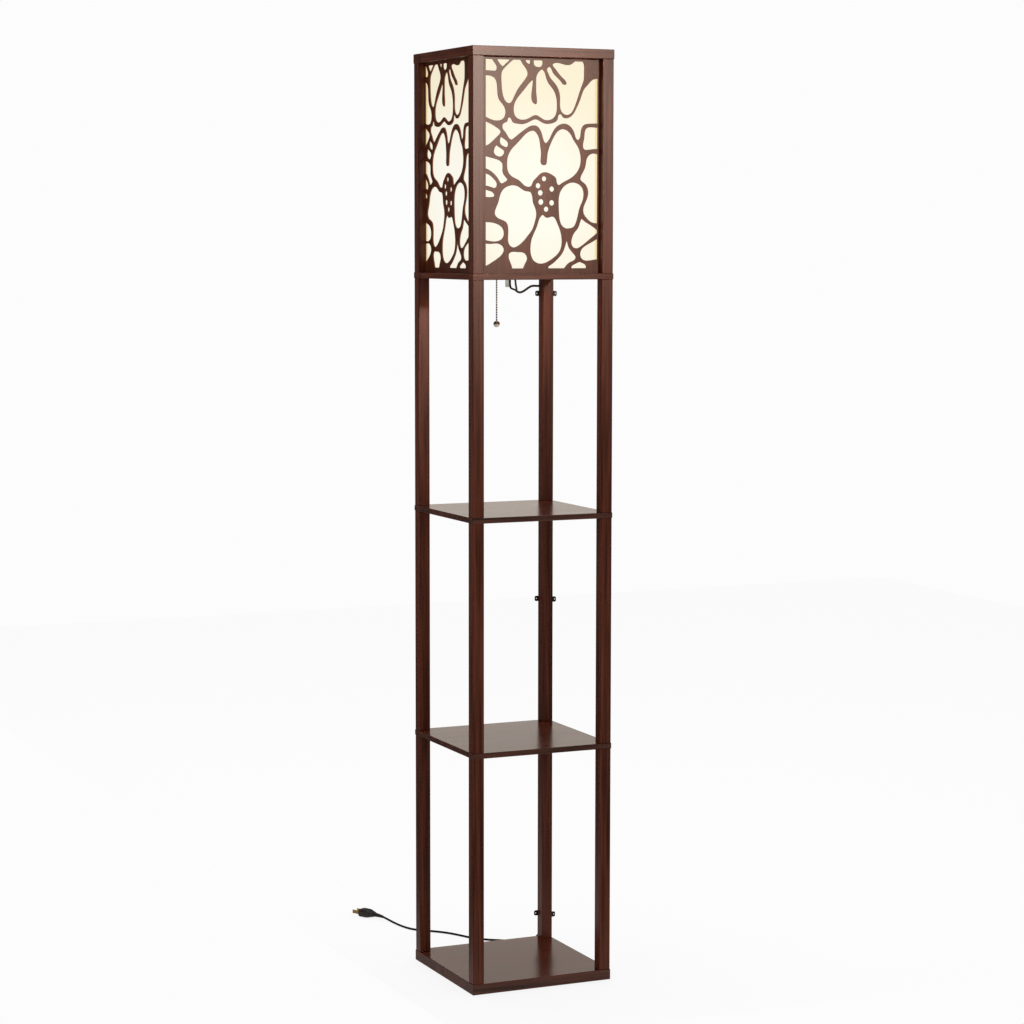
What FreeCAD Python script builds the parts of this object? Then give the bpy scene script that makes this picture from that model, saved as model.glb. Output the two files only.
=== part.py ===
import FreeCAD, Part
import math
import os
import re

import Sketcher

# A shelf floor lamp: a square tower of four corner posts with a base board and two
# shelves, and a lamp box on top whose four sides are pierced wooden frets with a pale
# diffuser behind each. A pull-chain lampholder stands on a bar across the lamp box's
# floor, and its cord runs down the back of the rear right post to the floor.
#
# Frame: millimetres, +Z up, origin at the middle of the footprint on the floor.
# Front is -Y, left is -X. Posts are named by where they stand.

doc = FreeCAD.newDocument("shelf_floor_lamp")
sheet = doc.addObject("Spreadsheet::Sheet", "sizes")

SIZES = [
    # boards
    ("board_width", 260.0), ("base_thick", 18.2), ("shelf_thick", 9.5),
    ("frame_thick", 10.0), ("top_thick", 16.0), ("rail_width", 34.0),
    ("board_proud", 0.8), ("edge_round", 0.8),
    # posts: one length for each tier
    ("post_size", 20.0), ("post_low", 389.0), ("post_mid", 390.0),
    ("post_high", 397.5), ("post_lamp", 359.5),
    # feet
    ("glide_radius", 11.0), ("glide_thick", 3.0), ("glide_proud", 0.8),
    ("glide_inset", 35.0), ("recess_gap", 0.2),
    # studs and screws that hold the tiers together
    ("stud_radius", 3.0), ("stud_length", 40.0), ("stud_gap", 0.1),
    ("head_radius", 4.5), ("head_thick", 3.0), ("hole_spare", 2.0),
    # lamp box sides
    ("panel_recess", 12.2), ("panel_thick", 1.8), ("fret_left_border", 8.4),
    ("fret_right_border", 4.0), ("side_fret_left_border", 1.4),
    ("fret_top_border", 5.0), ("fret_foot_border", 9.0), ("side_fret_shift", 15.0),
    ("diffuser_thick", 0.8),
    # bar across the lamp floor
    ("bar_width", 20.0), ("bar_thick", 2.0), ("bar_lap", 10.0), ("bar_offset", 8.0),
    ("bar_screw_radius", 1.8), ("bar_screw_length", 8.0), ("bar_screw_head", 3.4),
    ("bar_screw_head_thick", 1.6), ("fitting_gap", 0.1), ("bar_slot_width", 7.0),
    ("bar_slot_length", 9.0), ("bar_slot_reach", 9.4),
    # lampholder, from the nipple up
    ("nipple_radius", 5.0), ("nipple_bore", 3.7), ("nipple_length", 40.0),
    ("nipple_drop", 14.5), ("nut_across", 14.0), ("nut_thick", 4.0),
    ("cap_foot_radius", 9.0), ("cap_height", 18.0), ("cap_ledge", 1.5),
    ("holder_radius", 16.0), ("holder_wall", 0.8), ("holder_height", 46.0),
    ("sleeve_thick", 1.0), ("sleeve_gap", 0.2), ("thread_radius", 13.9),
    ("thread_wall", 0.4), ("thread_height", 26.0), ("block_height", 15.0),
    ("contact_radius", 3.0), ("contact_thick", 2.0), ("drum_radius", 5.0),
    ("drum_length", 8.0), ("drum_gap", 0.5), ("drum_reach", 6.0),
    ("axle_radius", 1.25), ("axle_gap", 0.05), ("axle_reach", 0.9),
    ("axle_end_gap", 0.1),
    # chain outlet and chain
    ("guide_reach", 21.5), ("guide_radius", 3.6), ("guide_bore", 2.3),
    ("guide_height", 10.0), ("guide_rise", 9.0), ("neck_radius", 2.6),
    ("bead_radius", 1.6), ("bead_gap", 0.2), ("bead_pitch", 4.25),
    ("link_radius", 0.55), ("knob_radius", 5.6), ("knob_collar", 2.1),
    ("lead_sunk", 1.0), ("chain_gap", 0.3), ("lead_chain_length", 17.0),
    ("pull_chain_length", 102.0),
    # bulb
    ("bulb_radius", 30.0), ("bulb_neck", 12.4), ("bulb_height", 86.0),
    ("bulb_wall", 0.8), ("bulb_base_radius", 13.1), ("bulb_base_height", 24.0),
    ("bulb_tip_radius", 5.0), ("bulb_tip_height", 3.0), ("bulb_base_bevel", 3.0),
    # cord, its clips and its plug
    ("cord_radius", 2.0), ("lead_radius", 1.7), ("cord_clear", 0.15),
    ("lead_gap", 0.5), ("floor_gap", 0.05), ("clip_height", 9.5),
    ("clip_wall", 1.2), ("clip_gap", 0.1), ("clip_ear", 6.3), ("clip_round", 2.8),
    ("clip_hole", 1.0), ("clip_upper_drop", 28.3), ("clip_middle_rise", 221.3),
    ("clip_lower_rise", 42.75), ("plug_length", 32.0), ("plug_width", 22.0),
    ("plug_height", 15.0), ("plug_taper", 0.62), ("plug_shoulder", 17.6),
    ("plug_round", 2.0), ("blade_length", 17.0), ("blade_width", 6.4),
    ("blade_thick", 1.5), ("blade_apart", 12.7), ("blade_root", 4.0),
]

for row, (alias, number) in enumerate(SIZES, start=1):
    sheet.set("A%d" % row, alias)
    sheet.set("B%d" % row, "%g" % number)
    sheet.setAlias("B%d" % row, alias)
doc.recompute()

ALIASES = {alias for alias, _ in SIZES}


def size(alias):
    """The value of one cell, for the shapes that are worked out in code."""
    return float(getattr(sheet, alias))


def bound(text):
    """An expression in the sheet's aliases, such as 'board_width / 2'."""
    def cell(match):
        word = match.group(0)
        return "sizes." + word if word in ALIASES else word
    return re.sub(r"[a-z_]+", cell, str(text))


def value(text):
    """The same expression as a number."""
    def cell(match):
        word = match.group(0)
        return repr(size(word)) if word in ALIASES else word
    plain = re.sub(r"[a-z_]+", cell, str(text))
    return float(FreeCAD.Units.Quantity("(%s)*1" % plain))


# Heights of the tiers, from the floor up
BASE_FOOT = "glide_proud"
BASE_TOP = "(glide_proud + base_thick)"
LOWER_FOOT = "(%s + post_low)" % BASE_TOP
LOWER_TOP = "(%s + shelf_thick)" % LOWER_FOOT
UPPER_FOOT = "(%s + post_mid)" % LOWER_TOP
UPPER_TOP = "(%s + shelf_thick)" % UPPER_FOOT
FRAME_FOOT = "(%s + post_high)" % UPPER_TOP
FRAME_TOP = "(%s + frame_thick)" % FRAME_FOOT
CROWN_FOOT = "(%s + post_lamp)" % FRAME_TOP
CROWN_TOP = "(%s + top_thick)" % CROWN_FOOT
HALF = "(board_width / 2)"
POST_FACE = "(board_width / 2 - board_proud)"
POST_MID = "(board_width / 2 - board_proud - post_size / 2)"
POST_BACK = "(board_width / 2 - board_proud - post_size)"

nodes = []


def keep(feature, label):
    """A finished sub-part: its label names its file."""
    feature.Label = label
    nodes.append(feature)
    return feature


def bind(feature, **expressions):
    """Bind properties of a feature; x, y and z place it."""
    for name, text in expressions.items():
        path = "Placement.Base." + name if name in ("x", "y", "z") else name
        feature.setExpression(path, bound(text))
    return feature


def box(name, length, width, height, x, y, z):
    """A box by its size and its corner nearest -X, -Y and the floor."""
    feature = doc.addObject("Part::Box", name)
    return bind(feature, Length=length, Width=width, Height=height, x=x, y=y, z=z)


def rod(name, radius, height, x, y, z, axis=None):
    """A cylinder from a point, upwards or along another axis."""
    feature = doc.addObject("Part::Cylinder", name)
    if axis is not None:
        turn = FreeCAD.Rotation(FreeCAD.Vector(0, 0, 1), axis)
        feature.Placement = FreeCAD.Placement(FreeCAD.Vector(), turn)
    return bind(feature, Radius=radius, Height=height, x=x, y=y, z=z)


def fuse(name, shapes):
    feature = doc.addObject("Part::MultiFuse", name)
    feature.Shapes = shapes
    return feature


def group(name, solids):
    """Several separate solids that share one sub-part."""
    feature = doc.addObject("Part::Compound", name)
    feature.Links = solids
    return feature


def cut(name, base, tools):
    feature = doc.addObject("Part::Cut", name)
    feature.Base = base
    feature.Tool = tools[0] if len(tools) == 1 else fuse(name + "_tools", tools)
    return feature


def plane(body, role):
    """One of a body's own origin planes."""
    return next(item for item in body.Origin.OriginFeatures if item.Role == role)


def add_sketch(body, name):
    sketch = body.newObject("Sketcher::SketchObject", name)
    sketch.AttachmentSupport = [(plane(body, "XY_Plane"), "")]
    sketch.MapMode = "FlatFace"
    return sketch


def add_rectangle(sketch, width, depth):
    """A rectangle centred on the sketch's origin, its two sizes bound to the sheet."""
    corners = [(-1, -1), (1, -1), (1, 1), (-1, 1)]
    for here, there in zip(corners, corners[1:] + corners[:1]):
        start = FreeCAD.Vector(here[0] * value(width) / 2, here[1] * value(depth) / 2, 0)
        end = FreeCAD.Vector(there[0] * value(width) / 2, there[1] * value(depth) / 2, 0)
        sketch.addGeometry(Part.LineSegment(start, end), False)
    for side in range(4):
        sketch.addConstraint(Sketcher.Constraint("Coincident", side, 2, (side + 1) % 4, 1))
    for side in (0, 2):
        sketch.addConstraint(Sketcher.Constraint("Horizontal", side))
    for side in (1, 3):
        sketch.addConstraint(Sketcher.Constraint("Vertical", side))
    sketch.addConstraint(Sketcher.Constraint("Symmetric", 0, 1, 1, 2, -1, 1))
    for side, text, name in ((0, width, "width"), (1, depth, "depth")):
        number = sketch.addConstraint(Sketcher.Constraint("Distance", side, value(text)))
        sketch.renameConstraint(number, name)
        sketch.setExpression("Constraints." + name, bound(text))


def add_prism(body, width, depth, height, name):
    """A pad on a centred rectangle, all its edges eased."""
    sketch = add_sketch(body, name + "_outline")
    add_rectangle(sketch, width, depth)
    pad = body.newObject("PartDesign::Pad", name + "_pad")
    pad.Profile = sketch
    bind(pad, Length=height)
    doc.recompute()
    easing = body.newObject("PartDesign::Fillet", name + "_easing")
    easing.Base = (pad, [""])
    easing.UseAllEdges = True
    bind(easing, Radius="edge_round")
    return easing


def add_bore(body, radius, height, x, y, z, name):
    """A round hole in a body, upwards from a point."""
    bore = body.newObject("PartDesign::SubtractiveCylinder", name)
    return bind(bore, Radius=radius, Height=height, x=x, y=y, z=z)


def solid(name, shape):
    """A piece whose shape is worked out in code."""
    feature = doc.addObject("Part::Feature", name)
    feature.Shape = shape
    return feature


toward_right = FreeCAD.Vector(1, 0, 0)
toward_rear = FreeCAD.Vector(0, 1, 0)

# ---------------------------------------------------------------- boards and rails

CORNERS = [("front_left", -1, -1), ("front_right", 1, -1),
           ("rear_left", -1, 1), ("rear_right", 1, 1)]


def signed(sign, text):
    return text if sign > 0 else "-" + text


def add_board(label, thick, foot):
    """A full square board with a stud hole over each post."""
    board = doc.addObject("PartDesign::Body", label)
    add_prism(board, "board_width", "board_width", thick, label)
    for corner, sx, sy in CORNERS:
        add_bore(board, "stud_radius + stud_gap", thick, signed(sx, POST_MID),
                 signed(sy, POST_MID), "0", label + "_hole_" + corner)
    bind(board, z=foot)
    return keep(board, label)


base = add_board("base_board", "base_thick", BASE_FOOT)
add_board("lower_shelf", "shelf_thick", LOWER_FOOT)
add_board("upper_shelf", "shelf_thick", UPPER_FOOT)

GLIDE_SPOT = "(board_width / 2 - glide_inset)"
glides = []
for corner, sx, sy in CORNERS:
    add_bore(base, "head_radius + recess_gap", "head_thick", signed(sx, POST_MID),
             signed(sy, POST_MID), "0", "base_head_hole_" + corner)
    add_bore(base, "glide_radius + recess_gap", "glide_thick - glide_proud",
             signed(sx, GLIDE_SPOT), signed(sy, GLIDE_SPOT), "0",
             "base_glide_hole_" + corner)
    glides.append(rod("glide", "glide_radius", "glide_thick", signed(sx, GLIDE_SPOT),
                      signed(sy, GLIDE_SPOT), "0"))
keep(group("foot_glides", glides), "foot_glides")

BAR_SCREW_SPOT = "(board_width / 2 - rail_width + bar_lap / 2)"


def add_frame(level, thick, foot, screw_depth=None):
    """Four rails: front and rear run full width, left and right fit between them."""
    inset = "(board_width / 2 - rail_width / 2)"
    for side, sy in (("front", -1), ("rear", 1)):
        label = "%s_rail_%s" % (level, side)
        rail = doc.addObject("PartDesign::Body", label)
        add_prism(rail, "board_width", "rail_width", thick, label)
        for number, sx in enumerate((-1, 1)):
            edge = signed(sy, "(rail_width / 2 - board_proud - post_size / 2)")
            add_bore(rail, "stud_radius + stud_gap", thick, signed(sx, POST_MID), edge,
                     "0", "%s_hole_%d" % (label, number))
            if screw_depth is None:
                add_bore(rail, "head_radius + recess_gap", "head_thick",
                         signed(sx, POST_MID), edge, "%s - head_thick" % thick,
                         "%s_head_hole_%d" % (label, number))
        if screw_depth is not None:
            add_bore(rail, "bar_screw_radius + fitting_gap", screw_depth,
                     "-bar_offset", signed(sy, "(bar_lap / 2 - rail_width / 2)"),
                     "%s - (%s)" % (thick, screw_depth), label + "_bar_hole")
        bind(rail, y=signed(sy, inset), z=foot)
        keep(rail, label)
    for side, sx in (("left", -1), ("right", 1)):
        label = "%s_rail_%s" % (level, side)
        rail = doc.addObject("PartDesign::Body", label)
        add_prism(rail, "rail_width", "board_width - 2 * rail_width", thick, label)
        bind(rail, x=signed(sx, inset), z=foot)
        keep(rail, label)


add_frame("floor", "frame_thick", FRAME_FOOT, "bar_screw_length - bar_thick + stud_gap")
add_frame("top", "top_thick", CROWN_FOOT)

# ---------------------------------------------------------------- posts and fasteners

STUD_DEPTH = "(stud_length / 2 - %s / 2 + hole_spare)"
SCREW_DEPTH = "(head_thick + stud_length - %s + hole_spare)"
TIERS = [
    ("base", "post_low", BASE_TOP, SCREW_DEPTH % "base_thick", STUD_DEPTH % "shelf_thick"),
    ("middle", "post_mid", LOWER_TOP, STUD_DEPTH % "shelf_thick", STUD_DEPTH % "shelf_thick"),
    ("upper", "post_high", UPPER_TOP, STUD_DEPTH % "shelf_thick", STUD_DEPTH % "frame_thick"),
    ("lamp", "post_lamp", FRAME_TOP, STUD_DEPTH % "frame_thick", SCREW_DEPTH % "top_thick"),
]
for tier, length, foot, foot_depth, top_depth in TIERS:
    for corner, sx, sy in CORNERS:
        label = "%s_post_%s" % (tier, corner)
        post = doc.addObject("PartDesign::Body", label)
        add_prism(post, "post_size", "post_size", length, label)
        add_bore(post, "stud_radius + stud_gap", foot_depth, "0",
                 "0", "0", label + "_foot_hole")
        add_bore(post, "stud_radius + stud_gap", top_depth, "0",
                 "0", "%s - %s" % (length, top_depth), label + "_top_hole")
        bind(post, x=signed(sx, POST_MID), y=signed(sy, POST_MID), z=foot)
        keep(post, label)

studs = []
for foot, thick in ((LOWER_FOOT, "shelf_thick"), (UPPER_FOOT, "shelf_thick"),
                    (FRAME_FOOT, "frame_thick")):
    for corner, sx, sy in CORNERS:
        start = "%s + %s / 2 - stud_length / 2" % (foot, thick)
        studs.append(rod("stud", "stud_radius", "stud_length", signed(sx, POST_MID),
                         signed(sy, POST_MID), start))
keep(group("joint_studs", studs), "joint_studs")

screws = []
for head_foot, shank_foot in ((BASE_FOOT, "%s + head_thick" % BASE_FOOT),
                              ("%s - head_thick" % CROWN_TOP,
                               "%s - head_thick - stud_length" % CROWN_TOP)):
    for corner, sx, sy in CORNERS:
        spot = (signed(sx, POST_MID), signed(sy, POST_MID))
        head = rod("screw_head", "head_radius", "head_thick", *spot, head_foot)
        shank = rod("screw_shank", "stud_radius", "stud_length", *spot, shank_foot)
        screws.append(fuse("screw", [head, shank]))
keep(group("post_screws", screws), "post_screws")

# ---------------------------------------------------------------- pierced side panels

# Openings of the fret, each a closed curve through points given as (distance right of
# the panel's middle, height above the floor) on the front panel at its nominal size.
FRET_FOOT = 1224.5
FRET_WIDTH = 218.4
FRET_HEIGHT = 359.5

FRET_OPENINGS = [
    # two-lobed upper petal of the large flower, with its spur between the lobes
    [(-15, 1462.5), (-25, 1459), (-35, 1450), (-45, 1440), (-54, 1431), (-60.5, 1419),
     (-62, 1405), (-60, 1394), (-54, 1387), (-46, 1383), (-38, 1378.5), (-30, 1371.5),
     (-24, 1369.5), (-17.5, 1371), (-14, 1378), (-8, 1384.5), (-1, 1391), (7, 1394),
     (15, 1392.5), (22, 1389), (28, 1384), (29.5, 1377), (32, 1373.3), (40, 1376.5),
     (50, 1381.5), (60, 1387.5), (69, 1397), (74, 1410), (73.5, 1424), (69, 1437),
     (61, 1448), (56, 1457), (49, 1463.5), (40, 1466), (31, 1462), (24, 1453),
     (17, 1439), (12.5, 1426), (11, 1412), (9, 1406.5), (5, 1405.5), (1.5, 1407.5),
     (0.5, 1420), (-0.5, 1436), (-3, 1450), (-8, 1459)],
    # left petal
    [(-49, 1371.5), (-60, 1370), (-69, 1364.5), (-75, 1354), (-78, 1343), (-82.5, 1333),
     (-84, 1323.5), (-79, 1317.5), (-69, 1313.5), (-62.5, 1309), (-60, 1301),
     (-60, 1289), (-59.5, 1277), (-56, 1271), (-50, 1268.5), (-42, 1271), (-32, 1278.5),
     (-23, 1288.5), (-15, 1299), (-10.5, 1311), (-8, 1322), (-9.5, 1333), (-14, 1344),
     (-15.5, 1354), (-19, 1360.5), (-27, 1362), (-34, 1365), (-41, 1369.5)],
    # right petal
    [(58, 1377), (49, 1374.5), (40, 1367.5), (34.5, 1357), (33, 1344), (33.5, 1329),
     (35, 1315), (39, 1305.5), (45, 1301), (53, 1300.5), (61, 1303), (66, 1311),
     (69.5, 1323), (73, 1336), (78, 1347), (79.8, 1358), (77, 1368.5), (69, 1375)],
    # lower petal
    [(3, 1322.5), (-1.5, 1318), (-5.5, 1308), (-10.5, 1296), (-16.5, 1283), (-19, 1269),
     (-18, 1256), (-13, 1246.5), (-4, 1241.8), (6, 1242), (16, 1246), (26, 1252.5),
     (35, 1261.5), (39, 1273), (38.8, 1286), (35.5, 1299), (30, 1311), (23.5, 1319.5),
     (17, 1319), (12, 1318), (7.5, 1320)],
    # hanging bloom above it, with its spur
    [(-16, 1546), (-23, 1539.5), (-31, 1530), (-40, 1520), (-47.5, 1509), (-50, 1496),
     (-46.5, 1485.5), (-38, 1480.8), (-28, 1481.2), (-18.5, 1485), (-10, 1488.5),
     (-2, 1485.5), (6, 1481.3), (15, 1480.8), (23, 1484), (28, 1491), (30, 1503),
     (28.5, 1519), (22.5, 1532), (14, 1542), (9.5, 1552), (6, 1561), (3, 1563.8),
     (-3, 1561), (-8, 1553.5), (-9, 1540), (-8.8, 1525), (-7.5, 1512), (-9, 1506.5),
     (-14, 1509), (-17, 1516), (-16.5, 1528), (-15, 1539)],
    # bud to its left
    [(-46, 1581), (-54, 1576.5), (-62.5, 1569), (-71, 1559.5), (-72.5, 1547),
     (-71.5, 1531), (-68.5, 1517), (-63, 1509), (-57, 1507.5), (-51.5, 1513),
     (-45.5, 1525), (-37, 1537.5), (-29, 1547), (-24.3, 1556.5), (-28, 1566),
     (-35, 1575), (-39, 1580.5)],
    # leaf to its right, with a free-ended vein
    [(12.5, 1567), (16.5, 1568.5), (21.5, 1561), (29, 1552.5), (37, 1545), (42.5, 1540),
     (46.5, 1540.5), (46, 1545), (40, 1551), (32.5, 1558.5), (26, 1566), (21.5, 1573),
     (26, 1575.3), (40, 1574), (54, 1573.3), (59.5, 1576.5), (66, 1581), (75, 1581),
     (79.3, 1575), (80, 1562), (79.5, 1549), (75.5, 1538), (71, 1526), (66.5, 1513),
     (61.5, 1501), (56, 1493), (49, 1490), (42, 1491.5), (36.5, 1498), (35, 1507),
     (35, 1520), (31.5, 1533), (24.5, 1543), (17, 1551), (12.8, 1559)],
    # ground between the bloom and the flower, open to the right edge
    [(-70.5, 1469), (-67, 1474.5), (-62, 1477), (-59, 1483.3), (-56, 1483),
     (-51.5, 1476.5), (-44, 1473.8), (-35, 1473), (-26, 1475), (-17.5, 1479),
     (-9.5, 1481.3), (-2, 1478.8), (6, 1475), (15, 1474.3), (24, 1476.5), (30.5, 1482),
     (33.5, 1490), (36.5, 1490.5), (41, 1486), (47.5, 1484.2), (54.5, 1486.8),
     (60.5, 1492.5), (65.5, 1501), (70.5, 1511), (75, 1522.5), (80, 1533.5),
     (87, 1541), (95.5, 1549), (104, 1551), (125, 1551), (137, 1540), (137, 1490),
     (125, 1477), (104, 1476.5), (90, 1476), (80.5, 1474), (76, 1468.5), (74, 1459),
     (72, 1451), (69, 1448.3), (65.5, 1450.5), (62.5, 1458), (59, 1465.5),
     (53.5, 1471.5), (46, 1475), (37.5, 1474.5), (30, 1470.5), (23.5, 1463),
     (18, 1453), (13, 1445), (9, 1442.5), (5.5, 1446), (2.5, 1455), (-1, 1463.5),
     (-6, 1469.5), (-12, 1471.5), (-20, 1470), (-30, 1464), (-40, 1457), (-49, 1450),
     (-54.5, 1447.5), (-60.5, 1452.5), (-66, 1460.5)],
    # cells along the top edge
    [(-135, 1585), (-115, 1585), (-96, 1585), (-90, 1580), (-84.5, 1573), (-80.5, 1566),
     (-81.5, 1561.5), (-90, 1560.2), (-102, 1560.5), (-120, 1561), (-135, 1566)],
    [(-78, 1584), (-79.5, 1579), (-75, 1572), (-70, 1568), (-64, 1572.5), (-57, 1579),
     (-56, 1584), (-67, 1586)],
    [(-29, 1583), (-28, 1578), (-24, 1573.5), (-20.5, 1573), (-19.8, 1578), (-20, 1583),
     (-24.5, 1585)],
    [(-12, 1584), (-13.5, 1578), (-11.5, 1570), (-7, 1568.3), (0, 1569), (3, 1574),
     (2, 1580), (0, 1584), (-6, 1586)],
    # cells down the left edge
    [(-135, 1540), (-125, 1552), (-102, 1552.3), (-91, 1551.3), (-84, 1547.5),
     (-80.2, 1538), (-79.2, 1525), (-76, 1512.5), (-69, 1504.5), (-65, 1496.5),
     (-65.5, 1487), (-70, 1481), (-78, 1478.5), (-88, 1479.2), (-97, 1482.5),
     (-108, 1487), (-125, 1493), (-135, 1505)],
    [(-130, 1479), (-118, 1480), (-104, 1477.5), (-91, 1472.5), (-80, 1466.5),
     (-73.5, 1460), (-78, 1453.5), (-87, 1445.5), (-96, 1438.5), (-104, 1436),
     (-118, 1436), (-130, 1445)],
    [(-72, 1451), (-65.5, 1447), (-60, 1440.5), (-61.5, 1435.3), (-68, 1436),
     (-75, 1443.5)],
    [(-80, 1437), (-73, 1432.5), (-67, 1427), (-70.5, 1420.5), (-77, 1419.2),
     (-86, 1427.5)],
    [(-130, 1419), (-118, 1421.5), (-102, 1419.5), (-88, 1416), (-76, 1412.5),
     (-70.5, 1407.5), (-70, 1398), (-67, 1388), (-61.5, 1380.5), (-67, 1376.5),
     (-72, 1374.8), (-77.5, 1381), (-84.5, 1389.5), (-92.5, 1395.5), (-103, 1400),
     (-118, 1402), (-130, 1406)],
    [(-130, 1385), (-118, 1392.5), (-104, 1391.5), (-93.5, 1388), (-85.5, 1381.5),
     (-80.3, 1373), (-82.5, 1367.8), (-91, 1368.5), (-104, 1371.3), (-118, 1372),
     (-130, 1377)],
    [(-128, 1359), (-118, 1366), (-104, 1365), (-94, 1362), (-86.5, 1358.3),
     (-85, 1354), (-90, 1352), (-104, 1352.5), (-118, 1353)],
    [(-130, 1296), (-118, 1309), (-104, 1310.3), (-91, 1309.8), (-79, 1306.8),
     (-70.5, 1301), (-67.5, 1292.5), (-69.5, 1284.5), (-76, 1279.8), (-86, 1278.3),
     (-97, 1279.8), (-108, 1282), (-122, 1284)],
    [(-130, 1258), (-120, 1274), (-104, 1275), (-92, 1274.2), (-80, 1274.8),
     (-71, 1271.3), (-67.5, 1265), (-70, 1258), (-79, 1250), (-89, 1243.8),
     (-99, 1238.5), (-108, 1236.5), (-122, 1240)],
    # cells down the right edge
    [(140, 1450), (130, 1468), (104, 1469.3), (91, 1470), (84, 1467.5), (81, 1460),
     (80, 1450), (78, 1440), (79.5, 1433.8), (90, 1432.7), (104, 1434), (130, 1435)],
    [(140, 1400), (130, 1421), (110, 1424), (98, 1426), (90, 1423.5), (85, 1416.5),
     (83, 1406), (79, 1396), (74.5, 1388), (73.5, 1382.5), (79, 1377.5), (85.5, 1370.5),
     (88, 1361), (86, 1350.5), (81.5, 1341), (79, 1333), (80, 1325), (85.5, 1317.5),
     (93, 1311.5), (101, 1309.3), (112, 1309.5), (130, 1315), (140, 1340)],
    [(75, 1315.5), (72.5, 1309), (69, 1300.5), (62.5, 1293), (58, 1284), (57, 1275),
     (60.5, 1268.8), (67, 1267), (75.5, 1270.5), (84, 1276.5), (93, 1283.5),
     (102, 1290), (106, 1294.5), (99, 1302), (89, 1308), (80.5, 1313.2)],
    [(140, 1270), (126, 1287), (104, 1282), (94, 1276.5), (84, 1271.5), (76.5, 1265.5),
     (73.5, 1256.5), (77, 1249), (85, 1246.2), (95, 1247), (104, 1248.2),
     (130, 1250)],
    # cells along the foot
    [(-59, 1254), (-56.5, 1259.5), (-50, 1261), (-42, 1260.5), (-33.5, 1260),
     (-27, 1256), (-25, 1248.5), (-29, 1240.5), (-33, 1232), (-40, 1226), (-48, 1227),
     (-53, 1236), (-57, 1246)],
    [(48, 1279), (45, 1269.5), (41.5, 1261), (35.5, 1253), (27.5, 1245.5),
     (19.5, 1239.5), (14, 1235), (18, 1230), (30, 1228), (42, 1231.5), (48.5, 1239),
     (56, 1244.3), (63, 1247.5), (65.2, 1251.5), (61, 1258), (55, 1264.5),
     (51, 1272)],
    [(71, 1243.5), (64, 1240.5), (57, 1235), (62, 1229), (72, 1227), (82, 1230),
     (84.5, 1237), (78, 1242)],
]

# Seed holes in the middle of the flower, as (right, height, radius)
FRET_HOLES = [(6, 1383, 4.2), (-5, 1371.3, 4.4), (20.3, 1366, 4.4), (-0.8, 1359.5, 4.6),
              (0.3, 1344.3, 4.8), (20.3, 1343, 4.6), (10, 1332.3, 4.3)]

panel_width = value("2 * %s" % POST_BACK)
across = panel_width / FRET_WIDTH
upward = size("post_lamp") / FRET_HEIGHT


def fret_edges(shift):
    """The closed outline of each opening, drawn on the panel's front plane."""
    front = value("panel_recess - %s" % POST_FACE)
    foot = value(FRAME_TOP)

    def place(x, z):
        return FreeCAD.Vector((x - shift) * across, front, foot + (z - FRET_FOOT) * upward)

    outlines = []
    for points in FRET_OPENINGS:
        curve = Part.BSplineCurve()
        curve.interpolate(Points=[place(x, z) for x, z in points], PeriodicFlag=True)
        outlines.append(Part.Wire(curve.toShape()))
    for x, z, radius in FRET_HOLES:
        ring = Part.makeCircle(radius * min(across, upward), place(x, z), toward_rear)
        outlines.append(Part.Wire(ring))
    return outlines


def rectangle_face(left, right, foot, top):
    """An upright rectangle on the panel's front plane."""
    front = value("panel_recess - %s" % POST_FACE)
    corners = [(left, foot), (right, foot), (right, top), (left, top), (left, foot)]
    return Part.Face(Part.makePolygon([FreeCAD.Vector(x, front, z) for x, z in corners]))


def fret_panel(shift, left_border):
    """A panel with every opening cut through it, trimmed to the border that stays whole."""
    foot = value(FRAME_TOP)
    top = foot + size("post_lamp")
    half_width = panel_width / 2
    window = rectangle_face(left_border - half_width,
                            half_width - size("fret_right_border"),
                            foot + size("fret_foot_border"), top - size("fret_top_border"))
    holes = []
    for outline in fret_edges(shift):
        for part_face in window.common(Part.Face(outline)).Faces:
            holes.append(part_face)
    plate = rectangle_face(-half_width, half_width, foot, top)
    pierced = plate.cut(Part.makeCompound(holes)).Faces
    if len(pierced) != 1:
        raise RuntimeError("a fret panel falls into %d pieces" % len(pierced))
    return pierced[0].extrude(toward_rear * size("panel_thick"))


PANEL_FRONT = "panel_recess - %s" % POST_FACE
SIDES = [("front", 0, 0), ("right", 90, 1), ("rear", 180, 0), ("left", 270, 1)]
fret_shapes = [fret_panel(0.0, size("fret_left_border")),
               fret_panel(size("side_fret_shift"), size("side_fret_left_border"))]
for side, turn, shifted in SIDES:
    placement = FreeCAD.Placement(
        FreeCAD.Vector(), FreeCAD.Rotation(FreeCAD.Vector(0, 0, 1), turn))
    panel = solid("fret_panel_" + side, fret_shapes[shifted])
    panel.Placement = placement
    keep(panel, "fret_panel_" + side)
    plate = box("diffuser_plate_" + side, "2 * %s" % POST_BACK, "diffuser_thick",
                "post_lamp", "-" + POST_BACK, "%s + panel_thick" % PANEL_FRONT, FRAME_TOP)
    diffuser = group("diffuser_" + side, [plate])
    diffuser.Placement = placement
    keep(diffuser, "diffuser_" + side)

# ---------------------------------------------------------------- bar and lampholder

HOLDER_X = "-bar_offset"
BAR_TOP = "(%s + bar_thick)" % FRAME_TOP
BAR_REACH = "(board_width / 2 - rail_width + bar_lap)"

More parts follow.
